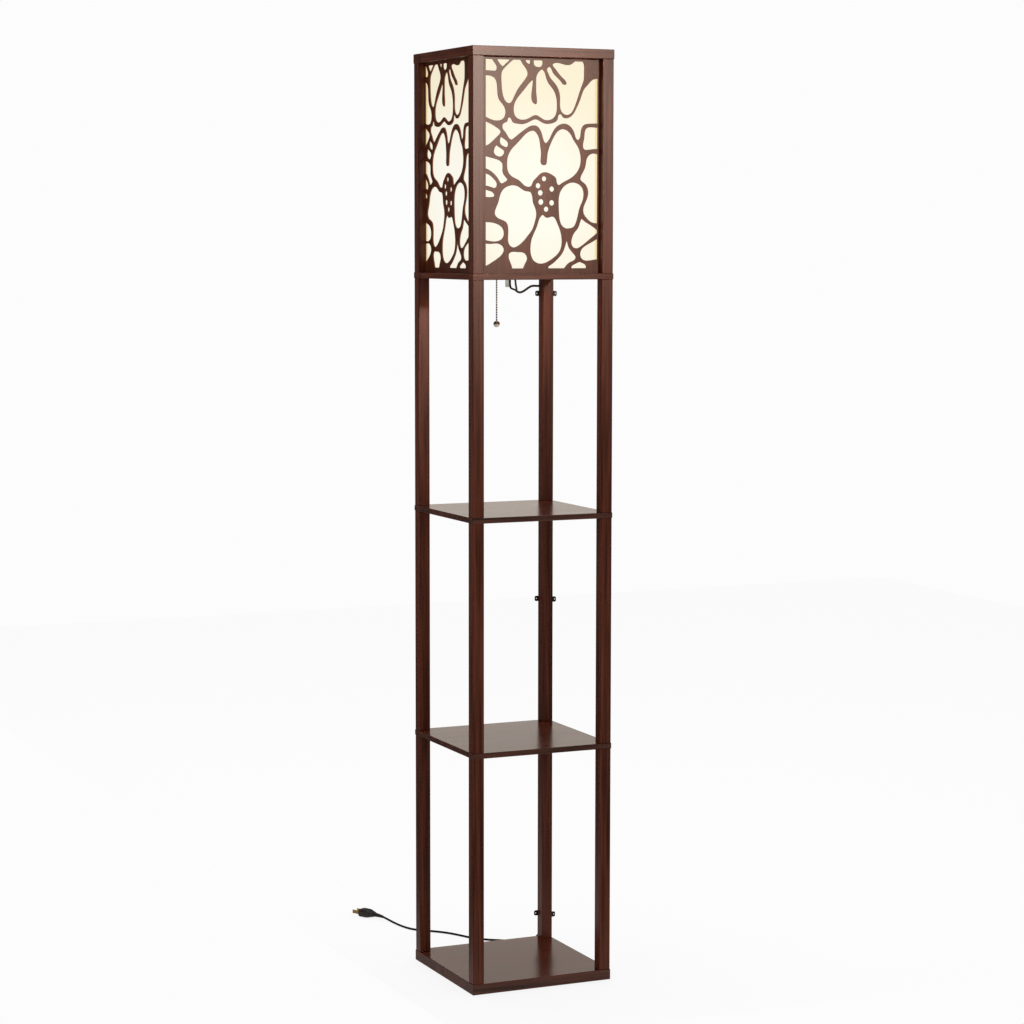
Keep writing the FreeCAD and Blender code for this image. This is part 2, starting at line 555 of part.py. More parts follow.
strip = box("bar_strip", "bar_width", "2 * %s" % BAR_REACH, "bar_thick",
            "%s - bar_width / 2" % HOLDER_X, "-" + BAR_REACH, FRAME_TOP)
bar_holes = [rod("bar_middle_hole", "nipple_radius + fitting_gap", "bar_thick",
                 HOLDER_X, "0", FRAME_TOP)]
for near in ("-(bar_slot_reach + bar_slot_length)", "bar_slot_reach"):
    bar_holes.append(box("bar_slot", "bar_slot_width", "bar_slot_length", "bar_thick",
                         "%s - bar_slot_width / 2" % HOLDER_X, near, FRAME_TOP))
bar_screws = []
for sy in (-1, 1):
    spot = (HOLDER_X, signed(sy, BAR_SCREW_SPOT))
    bar_holes.append(rod("bar_screw_hole", "bar_screw_radius + fitting_gap",
                         "bar_thick", *spot, FRAME_TOP))
    head = rod("bar_screw_head", "bar_screw_head", "bar_screw_head_thick", *spot, BAR_TOP)
    shank = rod("bar_screw_shank", "bar_screw_radius", "bar_screw_length", *spot,
                "%s - bar_screw_length" % BAR_TOP)
    bar_screws.append(fuse("bar_screw", [head, shank]))
keep(cut("holder_bar", strip, bar_holes), "holder_bar")
keep(group("bar_screws", bar_screws), "bar_screws")

NIPPLE_FOOT = "(%s - nipple_drop)" % FRAME_FOOT
nipple = cut("holder_nipple",
             rod("nipple_rod", "nipple_radius", "nipple_length", HOLDER_X, "0",
                 NIPPLE_FOOT),
             [rod("nipple_way", "nipple_bore", "nipple_length", HOLDER_X, "0",
                  NIPPLE_FOOT)])
keep(nipple, "holder_nipple")

nuts = []
for foot in ("%s - nut_thick" % FRAME_TOP, BAR_TOP):
    hexagon = doc.addObject("Part::Prism", "nut_blank")
    hexagon.Polygon = 6
    bind(hexagon, Circumradius="nut_across / 3 ^ 0.5", Height="nut_thick", x=HOLDER_X, z=foot)
    thread = rod("nut_thread", "nipple_radius + fitting_gap", "nut_thick", HOLDER_X,
                 "0", foot)
    nuts.append(cut("nut", hexagon, [thread]))
keep(group("nipple_nuts", nuts), "nipple_nuts")

holder_x = -size("bar_offset")
cap_foot = value("%s + nut_thick" % BAR_TOP)
holder_foot = cap_foot + size("cap_height")
block_top = holder_foot + size("block_height")
wall = size("holder_wall")
shell_radius = size("holder_radius")
shell_top = holder_foot + size("holder_height")
block_radius = shell_radius - wall - size("sleeve_gap")
nipple_fit = size("nipple_radius") + size("fitting_gap")


def along(start, toward, radius, length):
    """A round rod from a point along a direction, for holes and necks."""
    return Part.makeCylinder(radius, length, start, toward)


def turned(outline):
    """A solid of revolution about the lampholder's axis."""
    points = [FreeCAD.Vector(holder_x + radius, 0, height) for radius, height in outline]
    face = Part.Face(Part.makePolygon(points + points[:1]))
    return face.revolve(FreeCAD.Vector(holder_x, 0, 0), FreeCAD.Vector(0, 0, 1), 360)


# The cord's two conductors part under the lamp and come in through the sides of the
# holder's cap, the first through a slot in the bar; their points are given as (right of
# the holder's axis, behind it, above the cap's foot)
JOIN = (23.6, 18.0, -37.0)
FIRST_LEAD = [(23.5, 17.86, -36.98), (15.0, 6.0, -34.9), (3.3, -6.9, -32.6),
              (1.3, -8.9, -31.5), (-0.1, -10.3, -29.95), (-1.1, -11.3, -27.9),
              (-1.6, -11.8, -25.5), (-1.6, -11.8, -2.5), (-1.5, -11.2, 3.0),
              (-1.2, -9.3, 7.5), (-0.9, -6.9, 10.0)]
SECOND_LEAD = [(25.6, 20.7, -35.3), (25.0, 22.0, -30.0), (24.7, 23.2, -25.0),
               (24.4, 24.0, -19.0), (22.4, 22.4, -11.5), (18.0, 18.0, -4.5),
               (12.8, 12.8, 1.5), (8.2, 8.2, 7.0), (4.9, 4.9, 9.8)]
lead_routes = [[(holder_x + x, y, cap_foot + z) for x, y, z in route]
               for route in (FIRST_LEAD, SECOND_LEAD)]

cap_ledge = block_radius - size("cap_ledge")
cap = turned([(nipple_fit, cap_foot), (size("cap_foot_radius"), cap_foot),
              (shell_radius, holder_foot - 2 * wall), (shell_radius, holder_foot),
              (cap_ledge, holder_foot), (cap_ledge, holder_foot - 2 * wall),
              (size("cap_foot_radius") - wall, cap_foot + wall),
              (nipple_fit, cap_foot + wall)])
lead_room = size("lead_radius") + size("lead_gap")
for route in lead_routes:
    lead_end = [FreeCAD.Vector(*point) for point in route[-3:]]
    for start, end in zip(lead_end, lead_end[1:]):
        way = end - start
        cap = cap.cut(along(start - way * 0.2, way, lead_room, way.Length * 1.4))
keep(solid("holder_cap", cap), "holder_cap")

# Chain outlet: a short upright tube on a neck that reaches through the shell
guide_x = holder_x - size("guide_reach")
guide_z = holder_foot + size("guide_rise")
guide_foot = guide_z - size("guide_height") / 2
neck_radius = size("neck_radius")
chain_room = size("bead_radius") + size("bead_gap")
neck_start = FreeCAD.Vector(guide_x, 0, guide_z)
neck_length = size("guide_reach") - block_radius
guide = Part.makeCylinder(size("guide_radius"), size("guide_height"),
                          FreeCAD.Vector(guide_x, 0, guide_foot))
guide = guide.fuse(along(neck_start, toward_right, neck_radius, neck_length))
guide = guide.cut(Part.makeCylinder(size("guide_bore"), size("guide_height"),
                                    FreeCAD.Vector(guide_x, 0, guide_foot)))
guide = guide.cut(along(neck_start, toward_right, chain_room, neck_length))
keep(solid("chain_guide", guide), "chain_guide")

shell = turned([(shell_radius - wall, holder_foot), (shell_radius, holder_foot),
                (shell_radius, shell_top), (shell_radius - wall, shell_top)])
shell = shell.cut(along(neck_start, toward_right, neck_radius + size("fitting_gap"),
                        size("guide_reach")))
keep(solid("holder_shell", shell), "holder_shell")

# Switch block with the drum that the chain turns
drum_x = holder_x - size("drum_reach")
drum_length = size("drum_length")
drum_start = FreeCAD.Vector(drum_x, -drum_length / 2, guide_z)
room = size("drum_gap")
axle_end = room + size("axle_reach")
axle_pocket = axle_end + size("axle_end_gap")
block = turned([(0, holder_foot), (block_radius, holder_foot), (block_radius, block_top),
                (0, block_top)])
block = block.cut(along(drum_start - toward_rear * room, toward_rear,
                        size("drum_radius") + room, drum_length + 2 * room))
block = block.cut(along(neck_start, toward_right, chain_room,
                        size("guide_reach") - size("drum_reach")))
block = block.cut(along(drum_start - toward_rear * axle_pocket, toward_rear,
                        size("axle_radius") + size("axle_gap"),
                        drum_length + 2 * axle_pocket))
keep(solid("switch_block", block), "switch_block")
drum = along(drum_start, toward_rear, size("drum_radius"), drum_length)
drum = drum.fuse(along(drum_start - toward_rear * axle_end, toward_rear,
                       size("axle_radius"), drum_length + 2 * axle_end))
drum = drum.cut(along(FreeCAD.Vector(drum_x, 0, guide_z), -toward_right, chain_room,
                      size("drum_radius") + room))
keep(solid("switch_drum", drum), "switch_drum")

contact = rod("center_contact", "contact_radius", "contact_thick", HOLDER_X, "0",
              "%s + nut_thick + cap_height + block_height" % BAR_TOP)
keep(contact, "center_contact")
sleeve = turned([(block_radius - size("sleeve_thick"), block_top), (block_radius, block_top),
                 (block_radius, shell_top - wall),
                 (block_radius - size("sleeve_thick"), shell_top - wall)])
keep(solid("insulating_sleeve", sleeve), "insulating_sleeve")
thread_radius = size("thread_radius")
thread_top = block_top + size("thread_height")
screw_shell = turned([(thread_radius - size("thread_wall"), block_top),
                      (thread_radius, block_top), (thread_radius, thread_top),
                      (thread_radius - size("thread_wall"), thread_top)])
keep(solid("screw_shell", screw_shell), "screw_shell")

# ---------------------------------------------------------------- bulb

tip_foot = block_top + size("contact_thick")
base_foot = tip_foot + size("bulb_tip_height")
glass_foot = base_foot + size("bulb_base_height")
base_radius = size("bulb_base_radius")
base_bevel = size("bulb_base_bevel")
bulb_base = turned([(0, tip_foot), (size("bulb_tip_radius"), tip_foot),
                    (base_radius - base_bevel, base_foot),
                    (base_radius, base_foot + base_bevel),
                    (base_radius, glass_foot), (0, glass_foot)])
keep(solid("bulb_base", bulb_base), "bulb_base")


def bulb_skin(radius, neck, rise):
    """Half outline of a bulb: a cone from the neck that runs tangent into a ball."""
    reach = math.hypot(neck, rise)
    lean = math.asin(radius / reach) - math.atan2(neck, rise)
    touch = (radius * math.cos(lean), rise - radius * math.sin(lean))
    middle = glass_foot + rise
    low = FreeCAD.Vector(holder_x + neck, 0, glass_foot)
    meet = FreeCAD.Vector(holder_x + touch[0], 0, glass_foot + touch[1])
    side = FreeCAD.Vector(holder_x + radius, 0, middle)
    quarter = radius * math.sqrt(0.5)
    shoulder = FreeCAD.Vector(holder_x + quarter, 0, middle + quarter)
    top = FreeCAD.Vector(holder_x, 0, middle + radius)
    root = FreeCAD.Vector(holder_x, 0, glass_foot)
    outline = Part.Wire([Part.makeLine(root, low), Part.makeLine(low, meet),
                         Part.Arc(meet, side, shoulder).toShape(),
                         Part.Arc(shoulder, FreeCAD.Vector(
                             holder_x + radius * math.sin(math.pi / 8), 0,
                             middle + radius * math.cos(math.pi / 8)), top).toShape(),
                         Part.makeLine(top, root)])
    return Part.Face(outline).revolve(FreeCAD.Vector(holder_x, 0, 0),
                                      FreeCAD.Vector(0, 0, 1), 360)


ball_rise = size("bulb_height") - size("bulb_radius")
glass_wall = size("bulb_wall")
glass = bulb_skin(size("bulb_radius"), size("bulb_neck"), ball_rise)
glass = glass.cut(bulb_skin(size("bulb_radius") - glass_wall,
                            size("bulb_neck") - glass_wall, ball_rise))
keep(solid("bulb_glass", glass), "bulb_glass")

# ---------------------------------------------------------------- pull chain

bead = size("bead_radius")
pitch = size("bead_pitch")
lead_beads = round(size("lead_chain_length") / pitch)
chain_beads = round(size("pull_chain_length") / pitch)
link = size("link_radius")


def bead_string(top, count):
    """Beads on a thin link, hanging down from a height, as one turned solid."""
    half_chord = math.sqrt(bead ** 2 - link ** 2)
    axis_top = FreeCAD.Vector(guide_x, 0, top)
    edges = []
    here = FreeCAD.Vector(guide_x + link, 0, top)
    edges.append(Part.makeLine(axis_top, here))
    for number in range(count):
        middle = top - (number + 0.5) * pitch
        upper = FreeCAD.Vector(guide_x + link, 0, middle + half_chord)
        widest = FreeCAD.Vector(guide_x + bead, 0, middle)
        lower = FreeCAD.Vector(guide_x + link, 0, middle - half_chord)
        edges.append(Part.makeLine(here, upper))
        edges.append(Part.Arc(upper, widest, lower).toShape())
        here = lower
    foot = FreeCAD.Vector(guide_x + link, 0, top - count * pitch)
    axis_foot = FreeCAD.Vector(guide_x, 0, foot.z)
    edges.append(Part.makeLine(here, foot))
    edges.append(Part.makeLine(foot, axis_foot))
    edges.append(Part.makeLine(axis_foot, axis_top))
    return Part.Face(Part.Wire(edges)).revolve(FreeCAD.Vector(guide_x, 0, 0),
                                               FreeCAD.Vector(0, 0, 1), 360)


lead_top = guide_foot + size("guide_height") - size("lead_sunk")
lead_foot = lead_top - lead_beads * pitch
keep(solid("chain_lead", bead_string(lead_top, lead_beads)), "chain_lead")
chain_top = lead_foot - size("chain_gap")
chain_foot = chain_top - chain_beads * pitch
keep(solid("pull_chain", bead_string(chain_top, chain_beads)), "pull_chain")

knob = size("knob_radius")
collar = size("knob_collar")
knob_drop = math.sqrt(knob ** 2 - collar ** 2)
knob_middle = chain_foot - knob_drop


def knob_point(degrees):
    """A point of the knob's outline, at an angle above its middle."""
    lift = math.radians(degrees)
    return FreeCAD.Vector(guide_x + knob * math.cos(lift), 0,
                          knob_middle + knob * math.sin(lift))


knob_rim = math.degrees(math.acos(collar / knob))
knob_foot = FreeCAD.Vector(guide_x, 0, knob_middle - knob)
knob_top = FreeCAD.Vector(guide_x, 0, chain_foot)
ball_outline = Part.Wire([
    Part.Arc(knob_foot, knob_point(-45), knob_point(0)).toShape(),
    Part.Arc(knob_point(0), knob_point(knob_rim / 2), knob_point(knob_rim)).toShape(),
    Part.makeLine(knob_point(knob_rim), knob_top), Part.makeLine(knob_top, knob_foot)])
ball = Part.Face(ball_outline).revolve(FreeCAD.Vector(guide_x, 0, 0),
                                       FreeCAD.Vector(0, 0, 1), 360)
keep(solid("chain_knob", ball), "chain_knob")

# ---------------------------------------------------------------- cord, clips and plug


def tube(name, route, radius):
    """A round tube along straight runs joined by tangent arcs, its radii printed."""
    points = [FreeCAD.Vector(*point) for point in route]
    edges = []
    radii = []
    length = 0.0
    here = points[0]
    for before, corner, after in zip(points, points[1:], points[2:]):
        back = before - corner
        ahead = after - corner
        shorter = min(back.Length, ahead.Length)
        half_turn = (math.pi - back.getAngle(ahead)) / 2
        setback = 0.45 * shorter
        arc_radius = setback / math.tan(half_turn)
        back.normalize()
        ahead.normalize()
        arc_start = corner + back * setback
        arc_end = corner + ahead * setback
        inward = back + ahead
        inward.normalize()
        middle = corner + inward * (arc_radius / math.cos(half_turn) - arc_radius)
        edges.append(Part.LineSegment(here, arc_start).toShape())
        edges.append(Part.Arc(arc_start, middle, arc_end).toShape())
        length += (arc_start - here).Length + 2 * half_turn * arc_radius
        radii.append(arc_radius)
        here = arc_end
    edges.append(Part.LineSegment(here, points[-1]).toShape())
    length += (points[-1] - here).Length
    path = Part.Wire(edges)
    ring = Part.Wire(Part.makeCircle(radius, points[0], points[1] - points[0]))
    shape = path.makePipeShell([ring], True, False)
    expected = math.pi * radius ** 2 * length
    print("%s: length %.1f, volume %.1f of %.1f, least radius %.1f, radii %s" % (
        name, length, shape.Volume, expected, min(radii),
        " ".join("%.0f" % item for item in radii)))
    if abs(shape.Volume / expected - 1) > 0.01:
        raise RuntimeError(name + " did not sweep whole")
    return shape


cord_radius = size("cord_radius")
cord_line_x = value(POST_MID)
cord_line_y = value("%s + cord_radius + cord_clear" % HALF)
CLIP_HEIGHTS = ["%s - clip_upper_drop" % FRAME_FOOT, "%s + clip_middle_rise" % LOWER_TOP,
                "%s + clip_lower_rise" % BASE_TOP]
clip_foot = value("%s - clip_height / 2" % CLIP_HEIGHTS[-1])

# From where the conductors part, under the lamp, measured as they are
UNDER_ROUTE = [JOIN, (29.9, 26.5, -39.1), (38.9, 38.0, -40.6), (49.6, 52.0, -40.1),
               (60.8, 67.0, -38.2), (73.1, 84.0, -35.6), (86.3, 102.0, -32.8),
               (99.0, 119.3, -30.9)]
# Round the rear right post's corner, as (right of, behind) the cord's line down it
ROUND_ROUTE = [(-17.9, -3.65, -30.8), (-12.6, 0.2, -31.2), (-5.9, 0.9, -31.3),
               (-2.15, 0.5, -33.4), (0, 0, -37.15)]
held_route = [(holder_x + x, y, cap_foot + z) for x, y, z in UNDER_ROUTE]
held_route += [(cord_line_x + x, cord_line_y + y, cap_foot + z) for x, y, z in ROUND_ROUTE]
held_route.append((cord_line_x, cord_line_y, clip_foot))

# From the lowest clip down to the floor, and over the floor away behind the base
lie = cord_radius + size("floor_gap")
DOWN_ROUTE = [(cord_line_x, cord_line_y, clip_foot), (cord_line_x, cord_line_y, 45.0),
              (118.4, 134.2, 31.0), (115.6, 138.0, 18.4), (108.8, 145.4, 8.6),
              (97.4, 156.6, 3.4)]
LYING_ROUTE = [(82.0, 170.4), (62.0, 186.0), (41.0, 200.4), (24.0, 216.8), (13.0, 238.0),
               (3.0, 260.0), (-10.0, 281.0), (-28.4, 300.0), (-47.4, 315.6),
               (-60.0, 335.0), (-66.4, 362.0), (-69.4, 391.0)]
plug_middle = size("plug_height") / 2
PLUG_ROUTE = [(-74.0, 411.6, 4.4), (-80.6, 426.2, plug_middle), (-88.0, 440.6, plug_middle)]
floor_route = DOWN_ROUTE + [(x, y, lie) for x, y in LYING_ROUTE] + PLUG_ROUTE

held = tube("held_cord", held_route, cord_radius)
leads = [tube("lead", route, size("lead_radius")) for route in lead_routes]
keep(solid("held_cord", Part.makeCompound([held] + leads)), "held_cord")
keep(solid("floor_cord", tube("floor_cord", floor_route, cord_radius)), "floor_cord")



def clip_ear(side, root, y, foot):
    """A flat ear with rounded corners, standing out of a clip to the left or right."""
    def corner(reach):
        return "%s - (%s)" % (root, reach) if side == "left" else root

    sign = "-" if side == "left" else "+"
    web = box("clip_ear_web", "clip_ear - clip_round", "clip_wall", "clip_height",
              corner("clip_ear - clip_round"), y, foot)
    tip = box("clip_ear_tip", "clip_ear", "clip_wall", "clip_height - 2 * clip_round",
              corner("clip_ear"), y, "%s + clip_round" % foot)
    turns = [rod("clip_ear_turn", "clip_round", "clip_wall",
                 "%s %s (clip_ear - clip_round)" % (root, sign), y, level, toward_rear)
             for level in ("%s + clip_round" % foot, "%s + clip_height - clip_round" % foot)]
    return [web, tip] + turns


clips = []
for height in CLIP_HEIGHTS:
    foot = "%s - clip_height / 2" % height
    back_leaf = box("clip_back", "post_size + clip_wall", "clip_wall", "clip_height",
                    POST_BACK, POST_FACE, foot)
    side_leaf = box("clip_side", "clip_wall", "post_size + clip_wall", "clip_height",
                    POST_FACE, POST_BACK, foot)
    ears = clip_ear("left", POST_BACK, POST_FACE, foot)
    ears += clip_ear("right", POST_FACE, POST_BACK, foot)
    cord_spot = (POST_MID, "%s + cord_radius + cord_clear" % HALF)
    saddle = rod("clip_saddle", "cord_radius + clip_gap + clip_wall", "clip_height",
                 *cord_spot, foot)
    channel = rod("clip_channel", "cord_radius + clip_gap", "clip_height", *cord_spot, foot)
    post_room = box("clip_post_room", "post_size", "post_size", "clip_height", POST_BACK,
                    POST_BACK, foot)
    ear_holes = [rod("clip_ear_hole", "clip_hole", "post_size + 4 * clip_wall", spot,
                     "%s - clip_wall" % POST_BACK, height, toward_rear)
                 for spot in ("%s - clip_ear / 2" % POST_BACK,
                              "%s + (clip_ear + clip_wall) / 2" % POST_FACE)]
    leaves = fuse("clip_leaves", [back_leaf, side_leaf, saddle] + ears)
    clips.append(cut("clip", leaves, [channel, post_room] + ear_holes))
keep(group("cord_clips", clips), "cord_clips")

# Plug: lies on the floor along the cord's last run
plug_point = FreeCAD.Vector(*floor_route[-1])
heading = plug_point - FreeCAD.Vector(*floor_route[-2])
heading.z = 0.0
plug_turn = FreeCAD.Rotation(toward_rear, heading)
plug_place = FreeCAD.Placement(plug_point, plug_turn)


def plug_section(scale, distance):
    half_width = size("plug_width") / 2 * scale
    half_height = size("plug_height") / 2 * scale
    corners = [FreeCAD.Vector(x * half_width, distance, z * half_height)
               for x, z in ((-1, -1), (1, -1), (1, 1), (-1, 1), (-1, -1))]
    return Part.makePolygon(corners)


blades = []
for sx in (-1, 1):
    corner = FreeCAD.Vector(sx * size("blade_apart") / 2 - size("blade_thick") / 2,
                            size("plug_length") - size("blade_root"),
                            -size("blade_width") / 2)
    blades.append(Part.makeBox(size("blade_thick"),
                               size("blade_length") + size("blade_root"),
                               size("blade_width"), corner))
plug = Part.makeLoft([plug_section(size("plug_taper"), 0.0),
                      plug_section(1.0, size("plug_shoulder")),
                      plug_section(1.0, size("plug_length"))], True, True)
plug = plug.makeFillet(size("plug_round"), plug.Edges)
for blade in blades:
    plug = plug.cut(blade)
plug_body = solid("plug_body", plug)
plug_body.Placement = plug_place
keep(plug_body, "plug_body")
plug_blades = solid("plug_blades", Part.makeCompound(blades))
plug_blades.Placement = plug_place
keep(plug_blades, "plug_blades")

# ---------------------------------------------------------------- checks and files

doc.recompute()
for feature in doc.Objects:
    if "Invalid" in feature.State or "Error" in feature.State:
        raise RuntimeError("%s failed: %s" % (feature.Label, feature.State))
os.makedirs("parts", exist_ok=True)
for feature in nodes:
    if feature.Shape.isNull() or not feature.Shape.isValid():
        raise RuntimeError(feature.Label + " has no valid shape")
for feature in nodes:
    feature.Shape.exportStep("parts/%s.step" % feature.Label)
print("%d sub-parts" % len(nodes))
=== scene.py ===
"""The looks of the shelf floor lamp: a square tower of stained wood with open shelves and
a lit fretwork box on top. Metres, +Z up, front towards -Y, left towards -X."""
import math

import bpy
import numpy as np
from mathutils import Matrix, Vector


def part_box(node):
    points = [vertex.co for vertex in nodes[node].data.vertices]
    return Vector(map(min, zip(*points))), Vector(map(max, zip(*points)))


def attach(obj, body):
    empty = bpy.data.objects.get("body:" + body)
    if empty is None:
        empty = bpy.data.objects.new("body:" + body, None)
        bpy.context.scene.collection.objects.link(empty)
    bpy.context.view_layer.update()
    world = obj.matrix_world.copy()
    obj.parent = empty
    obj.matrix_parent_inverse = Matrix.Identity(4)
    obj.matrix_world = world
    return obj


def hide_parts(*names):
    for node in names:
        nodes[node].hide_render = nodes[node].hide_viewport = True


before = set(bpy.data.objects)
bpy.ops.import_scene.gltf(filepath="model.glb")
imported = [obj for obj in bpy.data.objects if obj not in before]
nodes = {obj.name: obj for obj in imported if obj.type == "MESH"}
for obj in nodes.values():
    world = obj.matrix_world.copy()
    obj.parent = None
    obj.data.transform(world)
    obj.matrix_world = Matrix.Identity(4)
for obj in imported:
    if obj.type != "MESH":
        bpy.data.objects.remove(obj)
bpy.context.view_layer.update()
scene = bpy.context.scene

# ------------------------------------------------------------------ shader helpers


def srgb(red, green, blue):
    """A colour given as 0 to 255 screen values, as the linear values that sockets take."""
    shares = np.array([red, green, blue]) / 255.0
    linear = np.where(shares <= 0.04045, shares / 12.92, ((shares + 0.055) / 1.055) ** 2.4)
    return (*[float(share) for share in linear], 1.0)


class Shader:
    """A node tree with short calls to add nodes and join their sockets."""

    def __init__(self, tree):
        self.tree = tree
        self.nodes = tree.nodes
        self.links = tree.links

    def add(self, kind, inputs=None, **settings):
        """A new node with its settings made and its inputs fed."""
        node = self.nodes.new(kind)
        for name, setting in settings.items():
            setattr(node, name, setting)
        for name, given in (inputs or {}).items():
            self.feed(node.inputs[name], given)
        return node

    def feed(self, socket, given):
        """Joins an output to the socket, or sets the socket to a value."""
        if isinstance(given, bpy.types.NodeSocket):
            self.links.new(given, socket)
        else:
            socket.default_value = given

    def maths(self, operation, *terms):
        """One sum on one, two or three terms."""
        node = self.add("ShaderNodeMath", operation=operation)
        for socket, term in zip(node.inputs, terms):
            self.feed(socket, term)
        return node.outputs[0]

    def measure(self, operation, first, second):
        """One value from two vectors, such as their distance."""
        node = self.add("ShaderNodeVectorMath", operation=operation)
        self.feed(node.inputs[0], first)
        self.feed(node.inputs[1], second)
        return node.outputs["Value"]

    def ramp(self, given, low, high, start=0.0, end=1.0):
        """A smooth step: start below low, end above high."""
        node = self.add("ShaderNodeMapRange", interpolation_type="SMOOTHSTEP")
        for name, value in (("Value", given), ("From Min", low), ("From Max", high),
                            ("To Min", start), ("To Max", end)):
            self.feed(node.inputs[name], value)
        return node.outputs["Result"]

    def blend(self, share, first, second, kind="MIX"):
        """The first colour, given over to the second by a share."""
        node = self.add("ShaderNodeMix", data_type="RGBA", blend_type=kind)
        colours = [socket for socket in node.inputs if socket.type == "RGBA"]
        self.feed(node.inputs["Factor"], share)
        self.feed(colours[0], first)
        self.feed(colours[1], second)
        return next(socket for socket in node.outputs if socket.type == "RGBA")

    def noise(self, vector, scale, detail=3.0, roughness=0.5):
        """Soft noise between 0 and 1, mostly near the middle."""
        node = self.add("ShaderNodeTexNoise", {"Vector": vector, "Scale": scale,
                                               "Detail": detail, "Roughness": roughness})
        return node.outputs["Fac"]

    def place(self, vector, scale=(1, 1, 1), rotation=(0, 0, 0)):
        """The vector turned and stretched."""
        node = self.add("ShaderNodeMapping", {"Vector": vector, "Scale": scale,
                                              "Rotation": rotation})
        return node.outputs["Vector"]

    def parts(self, vector):
        """The vector's X, Y and Z outputs."""
        return self.add("ShaderNodeSeparateXYZ", {"Vector": vector}).outputs

    def facing(self, axis):
        """How squarely the surface faces an axis: 1 across it, 0 along it."""
        normal = self.add("ShaderNodeNewGeometry").outputs["Normal"]
        return self.maths("ABSOLUTE", self.parts(normal)[axis])


def new_group(name, inputs, outputs):
    """A shader group with named sockets; returns its helper, its inputs and its output."""
    tree = bpy.data.node_groups.new(name, "ShaderNodeTree")
    for label, kind in inputs:
        tree.interface.new_socket(label, in_out="INPUT", socket_type=kind)
    for label, kind in outputs:
        tree.interface.new_socket(label, in_out="OUTPUT", socket_type=kind)
    shader = Shader(tree)
    entry = shader.add("NodeGroupInput")
    leave = shader.add("NodeGroupOutput")
    return shader, entry.outputs, leave.inputs


def new_material(name, roughness=0.5, metallic=0.0, specular=0.5, sheen=(1, 1, 1, 1)):
    """A material with one Principled shader and the piece's own coordinates; sheen is the
    colour of its reflections when it is no metal."""
    material = bpy.data.materials.new(name)
    material.use_nodes = True
    shader = Shader(material.node_tree)
    principled = next(n for n in shader.nodes if n.type == "BSDF_PRINCIPLED")
    for label, value in (("Roughness", roughness), ("Metallic", metallic),
                         ("Specular IOR Level", specular), ("Specular Tint", sheen)):
        shader.feed(principled.inputs[label], value)
    coordinates = shader.add("ShaderNodeTexCoord")
    return material, shader, principled, coordinates.outputs["Object"]


BUMP_DEPTH = 0.0001


def bump(shader, principled, height, strength):
    """Fine relief on a surface."""
    node = shader.add("ShaderNodeBump", {"Height": height, "Strength": strength,
                                         "Distance": BUMP_DEPTH})
    shader.feed(principled.inputs["Normal"], node.outputs["Normal"])


# ------------------------------------------------------------------ shared effects

# veneer: noise cells per metre on X, Y and Z, the grain running along Z
STREAK_CELLS = (46, 46, 2.4)
FIBRE_CELLS = (300, 300, 6)
PORE_CELLS = (1500, 1500, 60)
FIBRE_SHARE = 0.6
STAIN_STEP = (0.36, 0.64)
PORE_STEP = (0.60, 0.70)
PORE_COLOUR = srgb(34, 14, 9)
PORE_STRENGTH = 0.35
PORE_SINK = -0.5
GRAIN_ROUGHNESS = 0.14


def build_grain_group():
    """Stained veneer whose grain runs along Z: broad streaks, fine fibres and pores."""
    shader, given, out = new_group(
        "veneer_grain",
        [("Vector", "NodeSocketVector"), ("Deep", "NodeSocketColor"),
         ("Light", "NodeSocketColor"), ("Gloss", "NodeSocketFloat")],
        [("Color", "NodeSocketColor"), ("Roughness", "NodeSocketFloat"),
         ("Height", "NodeSocketFloat")])
    broad = shader.noise(shader.place(given["Vector"], STREAK_CELLS), 1.0, 3.0, 0.55)
    fibre = shader.noise(shader.place(given["Vector"], FIBRE_CELLS), 1.0, 4.0, 0.6)
    pores = shader.noise(shader.place(given["Vector"], PORE_CELLS), 1.0, 2.0, 0.5)
    streaks = shader.maths("MULTIPLY_ADD", fibre, FIBRE_SHARE,
                           shader.maths("MULTIPLY", broad, 1 - FIBRE_SHARE))
    stain = shader.blend(shader.ramp(streaks, *STAIN_STEP), given["Deep"], given["Light"])
    pore_mask = shader.ramp(pores, *PORE_STEP)
    shader.feed(out["Color"], shader.blend(
        shader.maths("MULTIPLY", pore_mask, PORE_STRENGTH), stain, PORE_COLOUR))
    shader.feed(out["Roughness"], shader.maths(
        "MULTIPLY_ADD", fibre, GRAIN_ROUGHNESS,
        shader.maths("SUBTRACT", given["Gloss"], GRAIN_ROUGHNESS / 2)))
    shader.feed(out["Height"], shader.maths("MULTIPLY_ADD", pore_mask, PORE_SINK, fibre))
    return shader.tree


MOTTLE_STEP = (0.38, 0.66)
SPECKLE_FINER = 14.0


